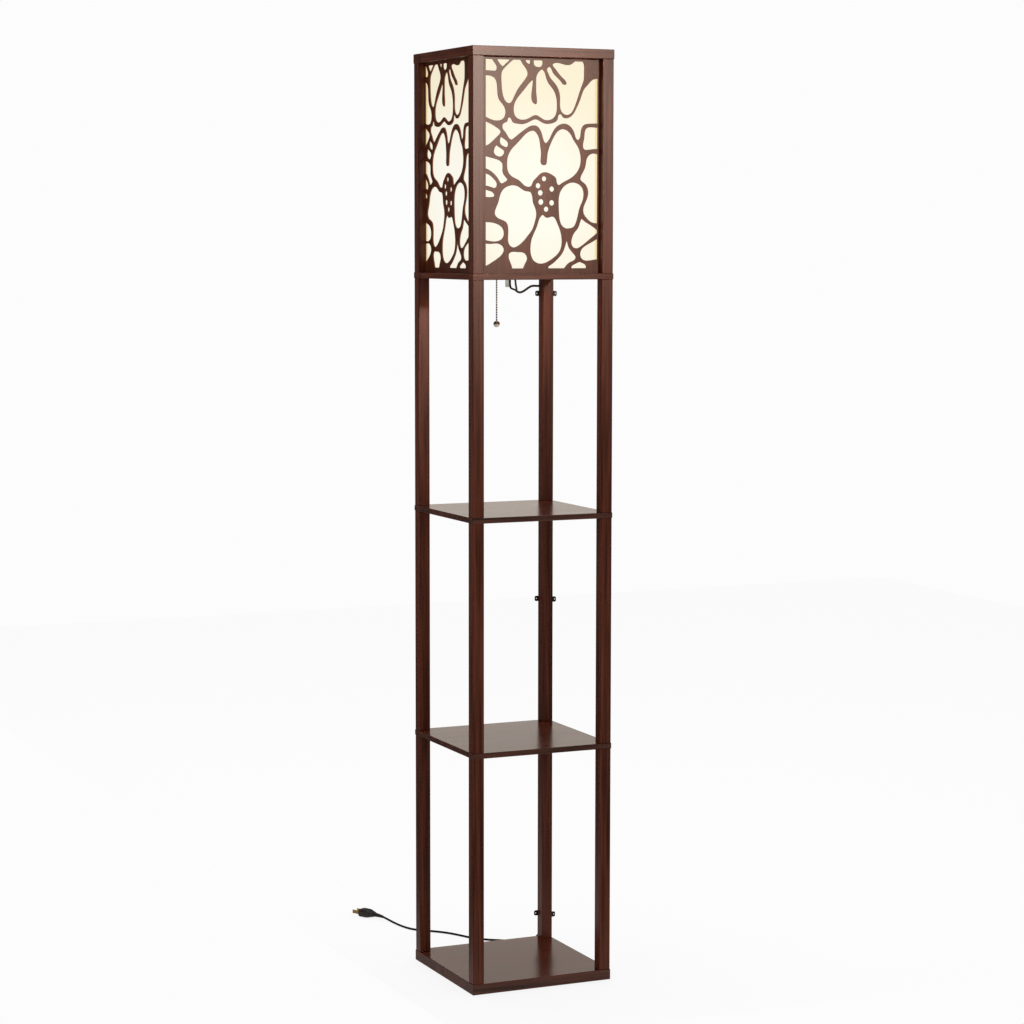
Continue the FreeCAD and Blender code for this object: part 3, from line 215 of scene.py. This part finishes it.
def build_scuff_group():
    """A slow mottle and fine speckle that break up one plain finish. Size is the number
    of noise cells per metre, and Spread how far the mottle swings the roughness."""
    shader, given, out = new_group(
        "handled_surface",
        [("Vector", "NodeSocketVector"), ("Base", "NodeSocketColor"),
         ("Tint", "NodeSocketColor"), ("Size", "NodeSocketFloat"),
         ("Roughness", "NodeSocketFloat"), ("Spread", "NodeSocketFloat")],
        [("Color", "NodeSocketColor"), ("Roughness", "NodeSocketFloat"),
         ("Height", "NodeSocketFloat")])
    mottle = shader.noise(given["Vector"], given["Size"], 4.0, 0.6)
    speckle = shader.noise(given["Vector"],
                           shader.maths("MULTIPLY", given["Size"], SPECKLE_FINER), 2.0)
    shader.feed(out["Color"], shader.blend(shader.ramp(mottle, *MOTTLE_STEP),
                                           given["Base"], given["Tint"]))
    swing = shader.maths("MULTIPLY", shader.maths("SUBTRACT", mottle, 0.5), given["Spread"])
    shader.feed(out["Roughness"],
                shader.maths("MULTIPLY_ADD", swing, 2.0, given["Roughness"]))
    shader.feed(out["Height"], speckle)
    return shader.tree


veneer_grain = build_grain_group()
handled_surface = build_scuff_group()

# ------------------------------------------------------------------ finishes

ESPRESSO_DEEP = srgb(50, 17, 8)
ESPRESSO_LIGHT = srgb(86, 38, 22)
LACQUER_TINT = (1.0, 0.87, 0.74, 1.0)
WOOD_GLOSS = 0.34
WOOD_SPECULAR = 0.35
WOOD_BUMP = 0.25
QUARTER = math.pi / 2

# the boards have shinier lacquer on top than on their edges; the step is in how
# squarely a surface faces Z
BOARD_GLOSS = 0.22
BOARD_EDGE_GLOSS = 0.5
BOARD_SPECULAR = 0.62
BOARD_TINT = (1.0, 0.91, 0.81, 1.0)
LEVEL_STEP = (0.3, 0.8)


def grained(shader, principled, vector, deep, light, gloss):
    """A veneer group on the vector, its relief joined to the Principled shader."""
    group = shader.add("ShaderNodeGroup", {"Vector": vector, "Deep": deep, "Light": light,
                                           "Gloss": gloss}, node_tree=veneer_grain)
    bump(shader, principled, group.outputs["Height"], WOOD_BUMP)
    return group.outputs["Color"], group.outputs["Roughness"]


def stained_wood(name, rotation, gloss=WOOD_GLOSS, edge_gloss=WOOD_GLOSS,
                 specular=WOOD_SPECULAR, sheen=LACQUER_TINT):
    """Dark espresso stain on veneer; the rotation turns the grain along the piece, and
    edge_gloss is the finish on its upright sides where that differs."""
    material, shader, principled, here = new_material(name, specular=specular, sheen=sheen)
    if edge_gloss != gloss:
        gloss = shader.ramp(shader.facing("Z"), *LEVEL_STEP, edge_gloss, gloss)
    colour, rough = grained(shader, principled, shader.place(here, rotation=rotation),
                            ESPRESSO_DEEP, ESPRESSO_LIGHT, gloss)
    shader.feed(principled.inputs["Base Color"], colour)
    shader.feed(principled.inputs["Roughness"], rough)
    return material


FRET_DEEP = srgb(64, 27, 13)
FRET_LIGHT = srgb(82, 39, 21)
FRET_CUT = srgb(124, 74, 42)
FRET_TINT = (1.0, 0.89, 0.76, 1.0)
FRET_SPECULAR = 0.3
FRET_GLOSS = 0.38
CUT_ROUGHER = 0.3
FACE_STEP = (0.5, 0.9)


def fret_wood(name, across):
    """Stained fret panels: face veneer, with a lighter, more orange colour on the edges
    inside the cut openings. Across is the axis that the panels' faces look along."""
    material, shader, principled, here = new_material(name, specular=FRET_SPECULAR,
                                                      sheen=FRET_TINT)
    cut_edge = shader.ramp(shader.facing(across), *FACE_STEP, 1.0, 0.0)
    colour, rough = grained(shader, principled, here, FRET_DEEP, FRET_LIGHT, FRET_GLOSS)
    shader.feed(principled.inputs["Base Color"], shader.blend(cut_edge, colour, FRET_CUT))
    shader.feed(principled.inputs["Roughness"],
                shader.maths("MULTIPLY_ADD", cut_edge, CUT_ROUGHER, rough))
    return material


def bulb_centre():
    """The middle of the bulb's globe: half the globe's width below its top."""
    low, high = (np.array(corner, float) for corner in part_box("bulb_glass"))
    middle = (low + high) / 2
    return (float(middle[0]), float(middle[1]), float(high[2] - (high[0] - low[0]) / 2))


BULB_CENTRE = bulb_centre()
# the glow fades from near to far between these distances from the bulb
GLOW_REACH = (0.105, 0.235)
GLOW_NEAR = (0.94, 0.925, 0.84, 1.0)
GLOW_FAR = (0.89, 0.812, 0.625, 1.0)
# painted shade beside the posts: the glow turns darker and yellower past this distance from
# the lamp's middle
POST_SHADE_START = 0.1012
POST_SHADE_BLUR = 0.0004
POST_SHADE_SHARE = 0.8
POST_SHADE_TINT = (0.93, 0.80, 0.45, 1.0)
LINER_SHADE = (0.5, 0.42, 0.28, 1.0)
SHADE_SHARE = 0.05
LINER_BASE = srgb(58, 54, 41)
LINER_FIBRE = srgb(66, 61, 47)
# its fibres are longer along Z; the cells are a metre's, and the step turns the fibres
# from the base colour to their own
LINER_STRETCH = (1, 1, 0.25)
LINER_CELLS = 900.0
LINER_CLOUD_CELLS = 26.0
LINER_STEP = (0.3, 0.7)
LINER_BUMP = 0.15


def lit_liner():
    """Pale sheet whose light from the bulb behind is painted as a glow: near white by the
    bulb, creamier away from it, and darker and yellower beside the posts, a painted shade."""
    material, shader, principled, here = new_material("lit_liner", roughness=0.75,
                                                      specular=0.2)
    away = shader.measure("DISTANCE", here, BULB_CENTRE)
    glow = shader.blend(shader.ramp(away, *GLOW_REACH), GLOW_NEAR, GLOW_FAR)
    parts = shader.parts(here)
    # painted shade: beside the posts the painted glow is multiplied darker and yellower
    toward_post = shader.maths("MINIMUM", shader.maths("ABSOLUTE", parts["X"]),
                       shader.maths("ABSOLUTE", parts["Y"]))
    post_shaded = shader.ramp(toward_post, POST_SHADE_START - POST_SHADE_BLUR, POST_SHADE_START + POST_SHADE_BLUR)
    glow = shader.blend(shader.maths("MULTIPLY", post_shaded, POST_SHADE_SHARE), glow, POST_SHADE_TINT,
                        "MULTIPLY")
    fibres = shader.noise(shader.place(here, LINER_STRETCH), LINER_CELLS, 5.0, 0.7)
    cloud = shader.noise(here, LINER_CLOUD_CELLS)
    shade = shader.maths("MULTIPLY", shader.maths("ADD", fibres, cloud), SHADE_SHARE)
    shader.feed(principled.inputs["Emission Color"], shader.blend(shade, glow, LINER_SHADE))
    shader.feed(principled.inputs["Emission Strength"], 1.0)
    shader.feed(principled.inputs["Base Color"],
                shader.blend(shader.ramp(fibres, *LINER_STEP), LINER_BASE, LINER_FIBRE))
    bump(shader, principled, fibres, LINER_BUMP)
    return material


def handled(shader, vector, base, tint, roughness, spread, size):
    """The outputs of a handled-surface group on the vector."""
    return shader.add("ShaderNodeGroup",
                      {"Vector": vector, "Base": base, "Tint": tint, "Size": size,
                       "Roughness": roughness, "Spread": spread},
                      node_tree=handled_surface).outputs


def plain_finish(name, base, tint, roughness, spread, size, metallic=0.0, specular=0.5,
                 relief=0.0):
    """One finish broken up by the handled-surface group."""
    material, shader, principled, here = new_material(name, roughness, metallic, specular)
    finish = handled(shader, here, base, tint, roughness, spread, size)
    shader.feed(principled.inputs["Base Color"], finish["Color"])
    shader.feed(principled.inputs["Roughness"], finish["Roughness"])
    if relief:
        bump(shader, principled, finish["Height"], relief)
    return material


KNOB_MIDDLE = float(np.mean([corner[2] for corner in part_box("chain_knob")]))
KNOB_PAINTED_REFLECTION = srgb(64, 40, 31)
# the painted reflection, a brown upper half standing for the dark wood above, starts and
# ends at these heights above the ball's middle
PAINTED_REFLECTION_STEP = (-0.0008, 0.0006)


def knob_painted_reflection():
    """The pull's ball: polished pale metal below, with a painted reflection of the dark lamp
    underside as a brown upper half towards its collar.
    """
    material, shader, principled, here = new_material("knob_painted_reflection", metallic=0.55)
    pale = handled(shader, here, srgb(232, 222, 206), srgb(214, 200, 180),
                   roughness=0.24, spread=0.06, size=300.0)
    # painted reflection: the ball's upper half is coloured brown for the dark wood it would
    # reflect
    painted_reflection = shader.ramp(shader.parts(here)["Z"],
                          *(KNOB_MIDDLE + step for step in PAINTED_REFLECTION_STEP))
    shader.feed(principled.inputs["Base Color"],
                shader.blend(painted_reflection, pale["Color"], KNOB_PAINTED_REFLECTION))
    shader.feed(principled.inputs["Roughness"], pale["Roughness"])
    return material


# the globe narrows to its neck between these heights
NECK_STEP = (1.30, 1.335)
NECK_GLOW = (0.80, 0.62, 0.38, 1.0)
GLOBE_GLOW = (1.0, 0.93, 0.80, 1.0)
BULB_STRENGTH = 3.0
FROST_CELLS = 1400.0


def frosted_glow():
    """The lit bulb: white frosted glass, a touch warmer towards its neck."""
    material, shader, principled, here = new_material("frosted_glow", roughness=0.35)
    globe = shader.ramp(shader.parts(here)["Z"], *NECK_STEP)
    shader.feed(principled.inputs["Emission Color"],
                shader.blend(globe, NECK_GLOW, GLOBE_GLOW))
    shader.feed(principled.inputs["Emission Strength"], BULB_STRENGTH)
    frost = shader.noise(here, FROST_CELLS, 2.0)
    shader.feed(principled.inputs["Base Color"],
                shader.blend(frost, srgb(232, 228, 218), srgb(246, 243, 235)))
    return material


espresso_upright = stained_wood("espresso_upright", (0, 0, 0))
espresso_across = stained_wood("espresso_across", (0, QUARTER, 0))
espresso_deep = stained_wood("espresso_deep", (QUARTER, 0, 0))
espresso_boards = stained_wood("espresso_boards", (0, QUARTER, 0), BOARD_GLOSS,
                               BOARD_EDGE_GLOSS, BOARD_SPECULAR, BOARD_TINT)
fret_front_back = fret_wood("fret_front_back", "Y")
fret_left_right = fret_wood("fret_left_right", "X")
zinc = plain_finish("zinc_plate", srgb(212, 211, 207), srgb(226, 225, 221),
                    roughness=0.34, spread=0.12, size=220.0, metallic=0.4, relief=0.1)
brass_shell = plain_finish("brass_shell", srgb(196, 164, 100), srgb(214, 184, 122),
                           roughness=0.28, spread=0.08, size=160.0, metallic=1.0)
contact_brass = plain_finish("contact_brass", srgb(200, 160, 88), srgb(176, 136, 72),
                             roughness=0.35, spread=0.1, size=260.0, metallic=1.0)
bulb_cap = plain_finish("bulb_cap", srgb(186, 186, 190), srgb(205, 205, 208),
                        roughness=0.3, spread=0.08, size=240.0, metallic=1.0)
bead_nickel = plain_finish("bead_nickel", srgb(104, 84, 74), srgb(72, 58, 52),
                           roughness=0.3, spread=0.08, size=900.0, metallic=0.6)
black_vinyl = plain_finish("black_vinyl", srgb(16, 14, 13), srgb(24, 22, 20),
                           roughness=0.5, spread=0.08, size=300.0, specular=0.3,
                           relief=0.15)
black_moulded = plain_finish("black_moulded", srgb(34, 28, 25), srgb(46, 38, 34),
                             roughness=0.45, spread=0.1, size=240.0, relief=0.2)
screw_bronze = plain_finish("screw_bronze", srgb(92, 74, 62), srgb(70, 56, 48),
                            roughness=0.38, spread=0.1, size=320.0, metallic=0.8,
                            relief=0.1)
fibre_card = plain_finish("fibre_card", srgb(150, 128, 96), srgb(170, 148, 116),
                          roughness=0.8, spread=0.05, size=400.0, relief=0.3)


def paint(material, *names):
    """Gives CAD nodes one finish."""
    for name in names:
        mesh = nodes[name].data
        mesh.materials.clear()
        mesh.materials.append(material)


CORNERS = ("front_left", "front_right", "rear_left", "rear_right")
TIERS = ("base", "middle", "upper", "lamp")
SIDES = ("front", "right", "rear", "left")
paint(espresso_upright, *["%s_post_%s" % (tier, corner) for corner in CORNERS
                          for tier in TIERS])
paint(espresso_boards, "base_board", "lower_shelf", "upper_shelf")
paint(espresso_across, "floor_rail_front", "floor_rail_rear", "top_rail_front",
      "top_rail_rear")
paint(espresso_deep, "floor_rail_left", "floor_rail_right", "top_rail_left",
      "top_rail_right")
paint(fret_front_back, "fret_panel_front", "fret_panel_rear")
paint(fret_left_right, "fret_panel_left", "fret_panel_right")
paint(lit_liner(), *["diffuser_%s" % side for side in SIDES])
paint(zinc, "holder_bar", "bar_screws", "holder_nipple", "nipple_nuts", "joint_studs")
paint(screw_bronze, "post_screws")
paint(brass_shell, "holder_cap", "holder_shell", "chain_guide")
paint(contact_brass, "center_contact", "screw_shell", "plug_blades")
paint(bulb_cap, "bulb_base")
paint(frosted_glow(), "bulb_glass")
paint(bead_nickel, "chain_lead", "pull_chain")
paint(knob_painted_reflection(), "chain_knob")
paint(black_moulded, "switch_block", "switch_drum", "foot_glides", "cord_clips", "plug_body")
paint(black_vinyl, "held_cord")
paint(fibre_card, "insulating_sleeve")

# ------------------------------------------------------------------ surfaces


def closed_skin(name, rings, material):
    """A closed skin through rings of points, an array of ring by point by axis: every
    ring joins the next, each end ring closes on its own middle, and the faces are turned
    outwards by the sign of the volume they hold."""
    count, around, _ = rings.shape
    points = np.vstack([rings.reshape(-1, 3), rings[0].mean(0), rings[-1].mean(0)])
    ring, spot = np.meshgrid(np.arange(count - 1), np.arange(around), indexing="ij")
    here = ring * around + spot
    beside = ring * around + (spot + 1) % around
    sides = np.stack([here, beside, beside + around, here + around], -1).reshape(-1, 4)
    turn = np.arange(around)
    ahead = (turn + 1) % around
    first = np.stack([np.full(around, count * around), ahead, turn], -1)
    last_ring = (count - 1) * around
    last = np.stack([np.full(around, count * around + 1), last_ring + turn,
                     last_ring + ahead], -1)
    triangles = np.vstack([sides[:, [0, 1, 2]], sides[:, [0, 2, 3]], first, last])
    a, b, c = (points[triangles[:, corner]] for corner in range(3))
    if np.einsum("ij,ij->i", a, np.cross(b, c)).sum() < 0:
        sides, first, last = sides[:, ::-1], first[:, ::-1], last[:, ::-1]
    mesh = bpy.data.meshes.new(name)
    mesh.from_pydata(points.tolist(), [], sides.tolist() + first.tolist() + last.tolist())
    mesh.polygons.foreach_set("use_smooth", np.ones(len(mesh.polygons), bool))
    mesh.materials.append(material)
    mesh.update()
    piece = bpy.data.objects.new(name, mesh)
    scene.collection.objects.link(piece)
    return piece


def eased(share):
    """Smooth step: 3 s squared minus 2 s cubed, held between 0 and 1."""
    share = np.clip(share, 0.0, 1.0)
    return share * share * (3 - 2 * share)


def unit(vector):
    """The vector, or each vector of a list, at length 1."""
    return vector / np.linalg.norm(vector, axis=-1, keepdims=True)


# ------------------------------------------------------------------ the free cord

UP = np.array((0.0, 0.0, 1.0))
CORD_RADIUS = 0.002
# the cord comes straight down behind the post to FREE_START, the lowest clip's foot, and
# its middle lies at LIE on the floor
CORD_LINE = (0.1192, 0.13215)
FREE_START = 0.057
LIE = 0.00205
PLUG_MIDDLE = 0.0075
FLOOR_POINTS = [
    (CORD_LINE[0], CORD_LINE[1], FREE_START), (CORD_LINE[0], CORD_LINE[1], 0.045),
    (0.1184, 0.1342, 0.031), (0.1156, 0.138, 0.0184), (0.1088, 0.1454, 0.0086),
    (0.0974, 0.1566, 0.0034), (0.082, 0.1704, LIE), (0.062, 0.186, LIE),
    (0.041, 0.2004, LIE), (0.024, 0.2168, LIE), (0.013, 0.238, LIE), (0.003, 0.26, LIE),
    (-0.01, 0.281, LIE), (-0.0284, 0.3, LIE), (-0.0474, 0.3156, LIE), (-0.06, 0.335, LIE),
    (-0.0664, 0.362, LIE), (-0.0694, 0.391, LIE), (-0.074, 0.4116, 0.0044),
    (-0.0806, 0.4262, PLUG_MIDDLE), (-0.088, 0.4406, PLUG_MIDDLE)]


def lay_cord(name, points, radius, material):
    """A round cord on a smooth line drawn by the route's points."""
    curve = bpy.data.curves.new(name, "CURVE")
    curve.dimensions = "3D"
    spline = curve.splines.new("NURBS")
    spline.points.add(len(points) - 1)
    for point, place in zip(spline.points, points):
        point.co = (*place, 1.0)
    spline.order_u = 3
    spline.use_endpoint_u = True
    spline.resolution_u = 10
    curve.bevel_depth = radius
    curve.bevel_resolution = 4
    curve.use_fill_caps = True
    curve.materials.append(material)
    piece = bpy.data.objects.new(name, curve)
    scene.collection.objects.link(piece)
    return piece


PLUG_LENGTH = 0.032
PLUG_HALF_WIDTH = 0.011
PLUG_HALF_HEIGHT = 0.0075
PLUG_EASE = 0.0016
PLUG_SQUARENESS = 0.55
# the tail's width and height as shares of the full ones, and the shares of the length
# over which they swell
TAIL_WIDTH = 0.60
TAIL_HEIGHT = 0.62
WIDTH_SWELL = 0.55
HEIGHT_SWELL = 0.5
# shares of the plug's length where the grip grooves start and end, and grooves a length
GRIP_START = 0.22
GRIP_END = 0.74
GRIP_FADE = 0.06
GRIP_DEPTH = 0.0006
GRIP_COUNT = 11.5
# the grooves fade out this far across the plug, over this share of its half width
FLANK_START = 0.86
FLANK_FADE = 0.3
PLUG_TAIL = np.array(FLOOR_POINTS[-1])
PLUG_AHEAD = unit(PLUG_TAIL - np.array(FLOOR_POINTS[-2]))


def moulded_plug():
    """The moulded plug. A section at share t of the length is a rounded box, x = w cos^p,
    z = h sin^p with p = 0.55, whose half width w and half height h swell by a smooth step
    from the tail; the two broad sides carry six grip grooves, a cosine of t, fading out
    towards the flanks; the end rings draw in by a quarter circle."""
    station = np.concatenate([[0, 0.15, 0.5], np.linspace(1, 15, 85), [15.5, 15.85, 16]])
    along = np.interp(station, [0, 1, 15, 16],
                      [0, PLUG_EASE, PLUG_LENGTH - PLUG_EASE, PLUG_LENGTH])
    share = along / PLUG_LENGTH
    near_end = np.minimum(np.minimum(along, PLUG_LENGTH - along), PLUG_EASE)
    drawn = PLUG_EASE - np.sqrt(np.clip(PLUG_EASE ** 2 - (PLUG_EASE - near_end) ** 2,
                                        0, None))
    swollen = TAIL_WIDTH + (1 - TAIL_WIDTH) * eased(share / WIDTH_SWELL)
    width = PLUG_HALF_WIDTH * swollen - drawn
    swollen = TAIL_HEIGHT + (1 - TAIL_HEIGHT) * eased(share / HEIGHT_SWELL)
    height = PLUG_HALF_HEIGHT * swollen - drawn
    angle = np.linspace(0, 2 * math.pi, 72, endpoint=False)
    across = np.sign(np.cos(angle)) * np.abs(np.cos(angle)) ** PLUG_SQUARENESS
    upward = np.sign(np.sin(angle)) * np.abs(np.sin(angle)) ** PLUG_SQUARENESS
    gripped = (eased((share - GRIP_START) / GRIP_FADE)
               * eased((GRIP_END - share) / GRIP_FADE))
    wave = 0.5 - 0.5 * np.cos(2 * math.pi * (share - GRIP_START) * GRIP_COUNT)
    broad = eased((FLANK_START - np.abs(across)) / FLANK_FADE)
    side = np.outer(width, across)
    lift = (np.outer(height, upward)
            - np.outer(GRIP_DEPTH * gripped * wave, np.sign(upward) * broad))
    flank = np.cross(PLUG_AHEAD, UP)
    rings = (PLUG_TAIL + along[:, None, None] * PLUG_AHEAD + side[..., None] * flank
             + lift[..., None] * UP)
    return closed_skin("moulded_plug", rings, black_moulded)


def line_of(cord):
    """The points of a cord's own line, read from a copy of it without thickness."""
    bare = cord.copy()
    bare.data = cord.data.copy()
    bare.data.bevel_depth = 0.0
    mesh = bpy.data.meshes.new_from_object(bare)
    points = np.empty(len(mesh.vertices) * 3)
    mesh.vertices.foreach_get("co", points)
    bpy.data.objects.remove(bare)
    bpy.data.meshes.remove(mesh)
    return points.reshape(-1, 3)


# the sleeve starts sunk in the plug; its ribs fade in and out near its ends, and at its
# mouth it slopes down to just over the cord
SLEEVE_LENGTH = 0.022
SLEEVE_SUNK = 0.001
SLEEVE_RADIUS = 0.0043
SLEEVE_TAPER = 0.0018
RIB_PITCH = 0.0031
RIB_DEPTH = 0.00055
RIB_FADE = 0.001
RIB_START = 0.0025
RIB_END = 0.002
MOUTH_GAP = 0.00012
MOUTH_SLOPE = 0.9


def strain_relief(cord):
    """The ribbed sleeve where the cord enters the plug. Its radius at distance s from
    the plug is a straight taper from 4.3 to 2.5 mm, less cosine grooves 3.1 mm apart,
    and it closes on the cord at its mouth. It follows the cord's own line."""
    line = line_of(cord)[::-1]
    gone = np.concatenate([[0], np.linalg.norm(np.diff(line, axis=0), axis=1).cumsum()])
    along = np.linspace(-SLEEVE_SUNK, SLEEVE_LENGTH, 150)
    middle = np.stack([np.interp(along, gone, line[:, axis]) for axis in range(3)], -1)
    middle += np.minimum(along, 0)[:, None] * -PLUG_AHEAD
    heading = unit(np.gradient(middle, axis=0))
    flank = unit(np.cross(heading, UP))
    lift = np.cross(flank, heading)
    ribbed = (eased((along - RIB_START) / RIB_FADE)
              * eased((SLEEVE_LENGTH - RIB_END - along) / RIB_FADE))
    wave = (0.5 + 0.5 * np.cos(2 * math.pi * along / RIB_PITCH)) ** 2
    radius = (SLEEVE_RADIUS - SLEEVE_TAPER * along / SLEEVE_LENGTH
              - RIB_DEPTH * ribbed * wave)
    mouth = CORD_RADIUS + MOUTH_GAP + (SLEEVE_LENGTH - along) * MOUTH_SLOPE
    radius = np.minimum(radius, mouth)
    angle = np.linspace(0, 2 * math.pi, 40, endpoint=False)
    rings = (middle[:, None] + radius[:, None, None]
             * (np.cos(angle)[None, :, None] * flank[:, None]
                + np.sin(angle)[None, :, None] * lift[:, None]))
    return closed_skin("strain_relief", rings, black_moulded)


floor_cord = lay_cord("floor_cord_run", FLOOR_POINTS, CORD_RADIUS, black_vinyl)
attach(floor_cord, "lamp")
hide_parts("floor_cord")
plug = moulded_plug()
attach(plug, "lamp")
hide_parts("plug_body")
relief = strain_relief(floor_cord)
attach(relief, "lamp")

# ------------------------------------------------------------------ studio and camera

WHITE = (1.0, 1.0, 1.0, 1.0)
WHITE_LEVEL = 0.975
# the floor's share of real shading, the light that falls on it, which its glow leaves
# room for, and how much of the floor shows in reflections
FLOOR_WHITE = 0.1
FLOOR_LIGHT = 1.3
FLOOR_GLOSS = 0.35
FLOOR_BOUNCE = (0.8, 0.8, 0.8, 1.0)
FLOOR_NEAR = (-0.24, -0.4)
FLOOR_FAR = (3.6, 4.6)


def studio_white(name, lit):
    """Plain white that the camera sees as white, keeping a soft share of shadow."""
    material = bpy.data.materials.new(name)
    material.use_nodes = True
    shader = Shader(material.node_tree)
    shader.nodes.clear()
    out = shader.add("ShaderNodeOutputMaterial")
    bounce = shader.add("ShaderNodeBsdfDiffuse", {"Color": FLOOR_BOUNCE})
    shadow = shader.add("ShaderNodeBsdfDiffuse", {"Color": (lit, lit, lit, 1)})
    path = shader.add("ShaderNodeLightPath").outputs
    seen = shader.maths("MAXIMUM", path["Is Camera Ray"], path["Is Transmission Ray"])
    gloss = shader.maths("MULTIPLY", path["Is Glossy Ray"], FLOOR_GLOSS)
    level = shader.maths("MULTIPLY", shader.maths("MAXIMUM", seen, gloss),
                         WHITE_LEVEL - lit * FLOOR_LIGHT)
    glow = shader.add("ShaderNodeEmission", {"Color": WHITE, "Strength": level})
    both = shader.add("ShaderNodeAddShader")
    shader.feed(both.inputs[0], shadow.outputs[0])
    shader.feed(both.inputs[1], glow.outputs[0])
    mix = shader.add("ShaderNodeMixShader",
                     {"Fac": shader.maths("MAXIMUM", seen, path["Is Glossy Ray"])})
    shader.feed(mix.inputs[1], bounce.outputs[0])
    shader.feed(mix.inputs[2], both.outputs[0])
    shader.feed(out.inputs["Surface"], mix.outputs[0])
    return material


def studio_floor(near, far, material):
    """A flat rectangle of stage floor between two corners."""
    mesh = bpy.data.meshes.new("studio_floor")
    mesh.from_pydata([(near[0], near[1], 0), (far[0], near[1], 0), (far[0], far[1], 0),
                      (near[0], far[1], 0)], [], [(0, 1, 2, 3)])
    mesh.materials.append(material)
    piece = bpy.data.objects.new("studio_floor", mesh)
    scene.collection.objects.link(piece)


AMBIENT = 1.12
GLOSS_WARMTH = (1.0, 0.93, 0.84, 1.0)
# reflections see white only low down behind the lamp: this heading on the floor, the
# step in how far a ray agrees with it, and the step in how far a ray rises
BEHIND_LAMP = (0.41, 0.91, 0.0)
BEHIND_STEP = (0.75, 0.95)
RISE_STEP = (0.1, 0.5)
DIM = 0.02


def surround():
    """World: white to the camera, dim to gloss except behind the lamp, even ambient."""
    world = bpy.data.worlds.new("studio")
    world.use_nodes = True
    scene.world = world
    shader = Shader(world.node_tree)
    shader.nodes.clear()
    out = shader.add("ShaderNodeOutputWorld")
    path = shader.add("ShaderNodeLightPath").outputs
    heading = shader.add("ShaderNodeTexCoord").outputs["Generated"]
    aim = shader.measure("DOT_PRODUCT", heading, BEHIND_LAMP)
    behind = shader.maths("MULTIPLY", shader.ramp(aim, *BEHIND_STEP, DIM, 1.0),
                          shader.ramp(shader.parts(heading)["Z"], *RISE_STEP, 1.0, DIM))
    gloss = shader.maths("MULTIPLY", path["Is Glossy Ray"], behind)
    seen = shader.maths("MAXIMUM", path["Is Camera Ray"], path["Is Transmission Ray"])
    white = shader.maths("MULTIPLY", shader.maths("MAXIMUM", seen, gloss), WHITE_LEVEL)
    level = shader.maths("MULTIPLY_ADD", path["Is Diffuse Ray"], AMBIENT, white)
    tone = shader.blend(path["Is Glossy Ray"], WHITE, GLOSS_WARMTH)
    background = shader.add("ShaderNodeBackground", {"Color": tone, "Strength": level})
    shader.feed(out.inputs["Surface"], background.outputs[0])


def turned(right, up, back, place):
    """A placing matrix from a piece's three axes and its place."""
    matrix = np.eye(4)
    matrix[:3] = np.stack([right, up, back, place], -1)
    return Matrix(matrix.tolist())


def softbox(name, place, target, width, height, power, beam=180):
    """A rectangular studio lamp aimed at a point, its beam narrowed by a grid."""
    light = bpy.data.lights.new(name, "AREA")
    light.shape = "RECTANGLE"
    light.size = width
    light.size_y = height
    light.energy = power
    light.spread = math.radians(beam)
    back = unit(np.array(place, float) - np.array(target, float))
    right = unit(np.cross(UP, back))
    lamp = bpy.data.objects.new(name, light)
    lamp.matrix_world = turned(right, np.cross(back, right), back, place)
    scene.collection.objects.link(lamp)


BULB_POWER = 6.0
BULB_COLOUR = (1.0, 0.78, 0.52)
BULB_SOFTNESS = 0.04


def bulb_light():
    """The lit bulb's own warm light inside the lamp box."""
    light = bpy.data.lights.new("bulb_light", "POINT")
    light.energy = BULB_POWER
    light.color = BULB_COLOUR
    light.shadow_soft_size = BULB_SOFTNESS
    lamp = bpy.data.objects.new("bulb_light", light)
    lamp.matrix_world = Matrix.Translation(BULB_CENTRE)
    scene.collection.objects.link(lamp)


# the photograph's viewpoint: angles in degrees, lens and sensor in millimetres
CAMERA_PLACE = (-1.94169, -4.33715, 1.28314)
CAMERA_YAW = math.radians(24.116)
CAMERA_PITCH = math.radians(5.673)
CAMERA_ROLL = math.radians(0.061)
CAMERA_LENS = 96.765
CAMERA_SENSOR = 36.0
CAMERA_CLIP_END = 50.0


def place_camera():
    """The photograph's viewpoint: ahead is the line of sight, side and top its axes."""
    camera = bpy.data.cameras.new("camera")
    camera.lens = CAMERA_LENS
    camera.sensor_width = CAMERA_SENSOR
    camera.clip_end = CAMERA_CLIP_END
    ahead = np.array([math.sin(CAMERA_YAW) * math.cos(CAMERA_PITCH),
                      math.cos(CAMERA_YAW) * math.cos(CAMERA_PITCH),
                      -math.sin(CAMERA_PITCH)])
    level = np.array([math.cos(CAMERA_YAW), -math.sin(CAMERA_YAW), 0.0])
    upright = np.cross(level, ahead)
    side = level * math.cos(CAMERA_ROLL) + upright * math.sin(CAMERA_ROLL)
    top = upright * math.cos(CAMERA_ROLL) - level * math.sin(CAMERA_ROLL)
    piece = bpy.data.objects.new("camera", camera)
    piece.matrix_world = turned(side, top, -ahead, CAMERA_PLACE)
    scene.collection.objects.link(piece)
    scene.camera = piece


studio_floor(FLOOR_NEAR, FLOOR_FAR, studio_white("studio_floor_white", FLOOR_WHITE))
surround()
softbox("front_softbox", (0.75, -4.2, 2.12), (-0.27, 0, 1.47), width=0.9, height=0.2,
        power=2.8, beam=17)
softbox("top_softbox", (0.3, 0.6, 3.4), (0, 0, 0.8), width=2.0, height=2.0, power=30.0)
bulb_light()
place_camera()
scene.view_settings.view_transform = "Standard"
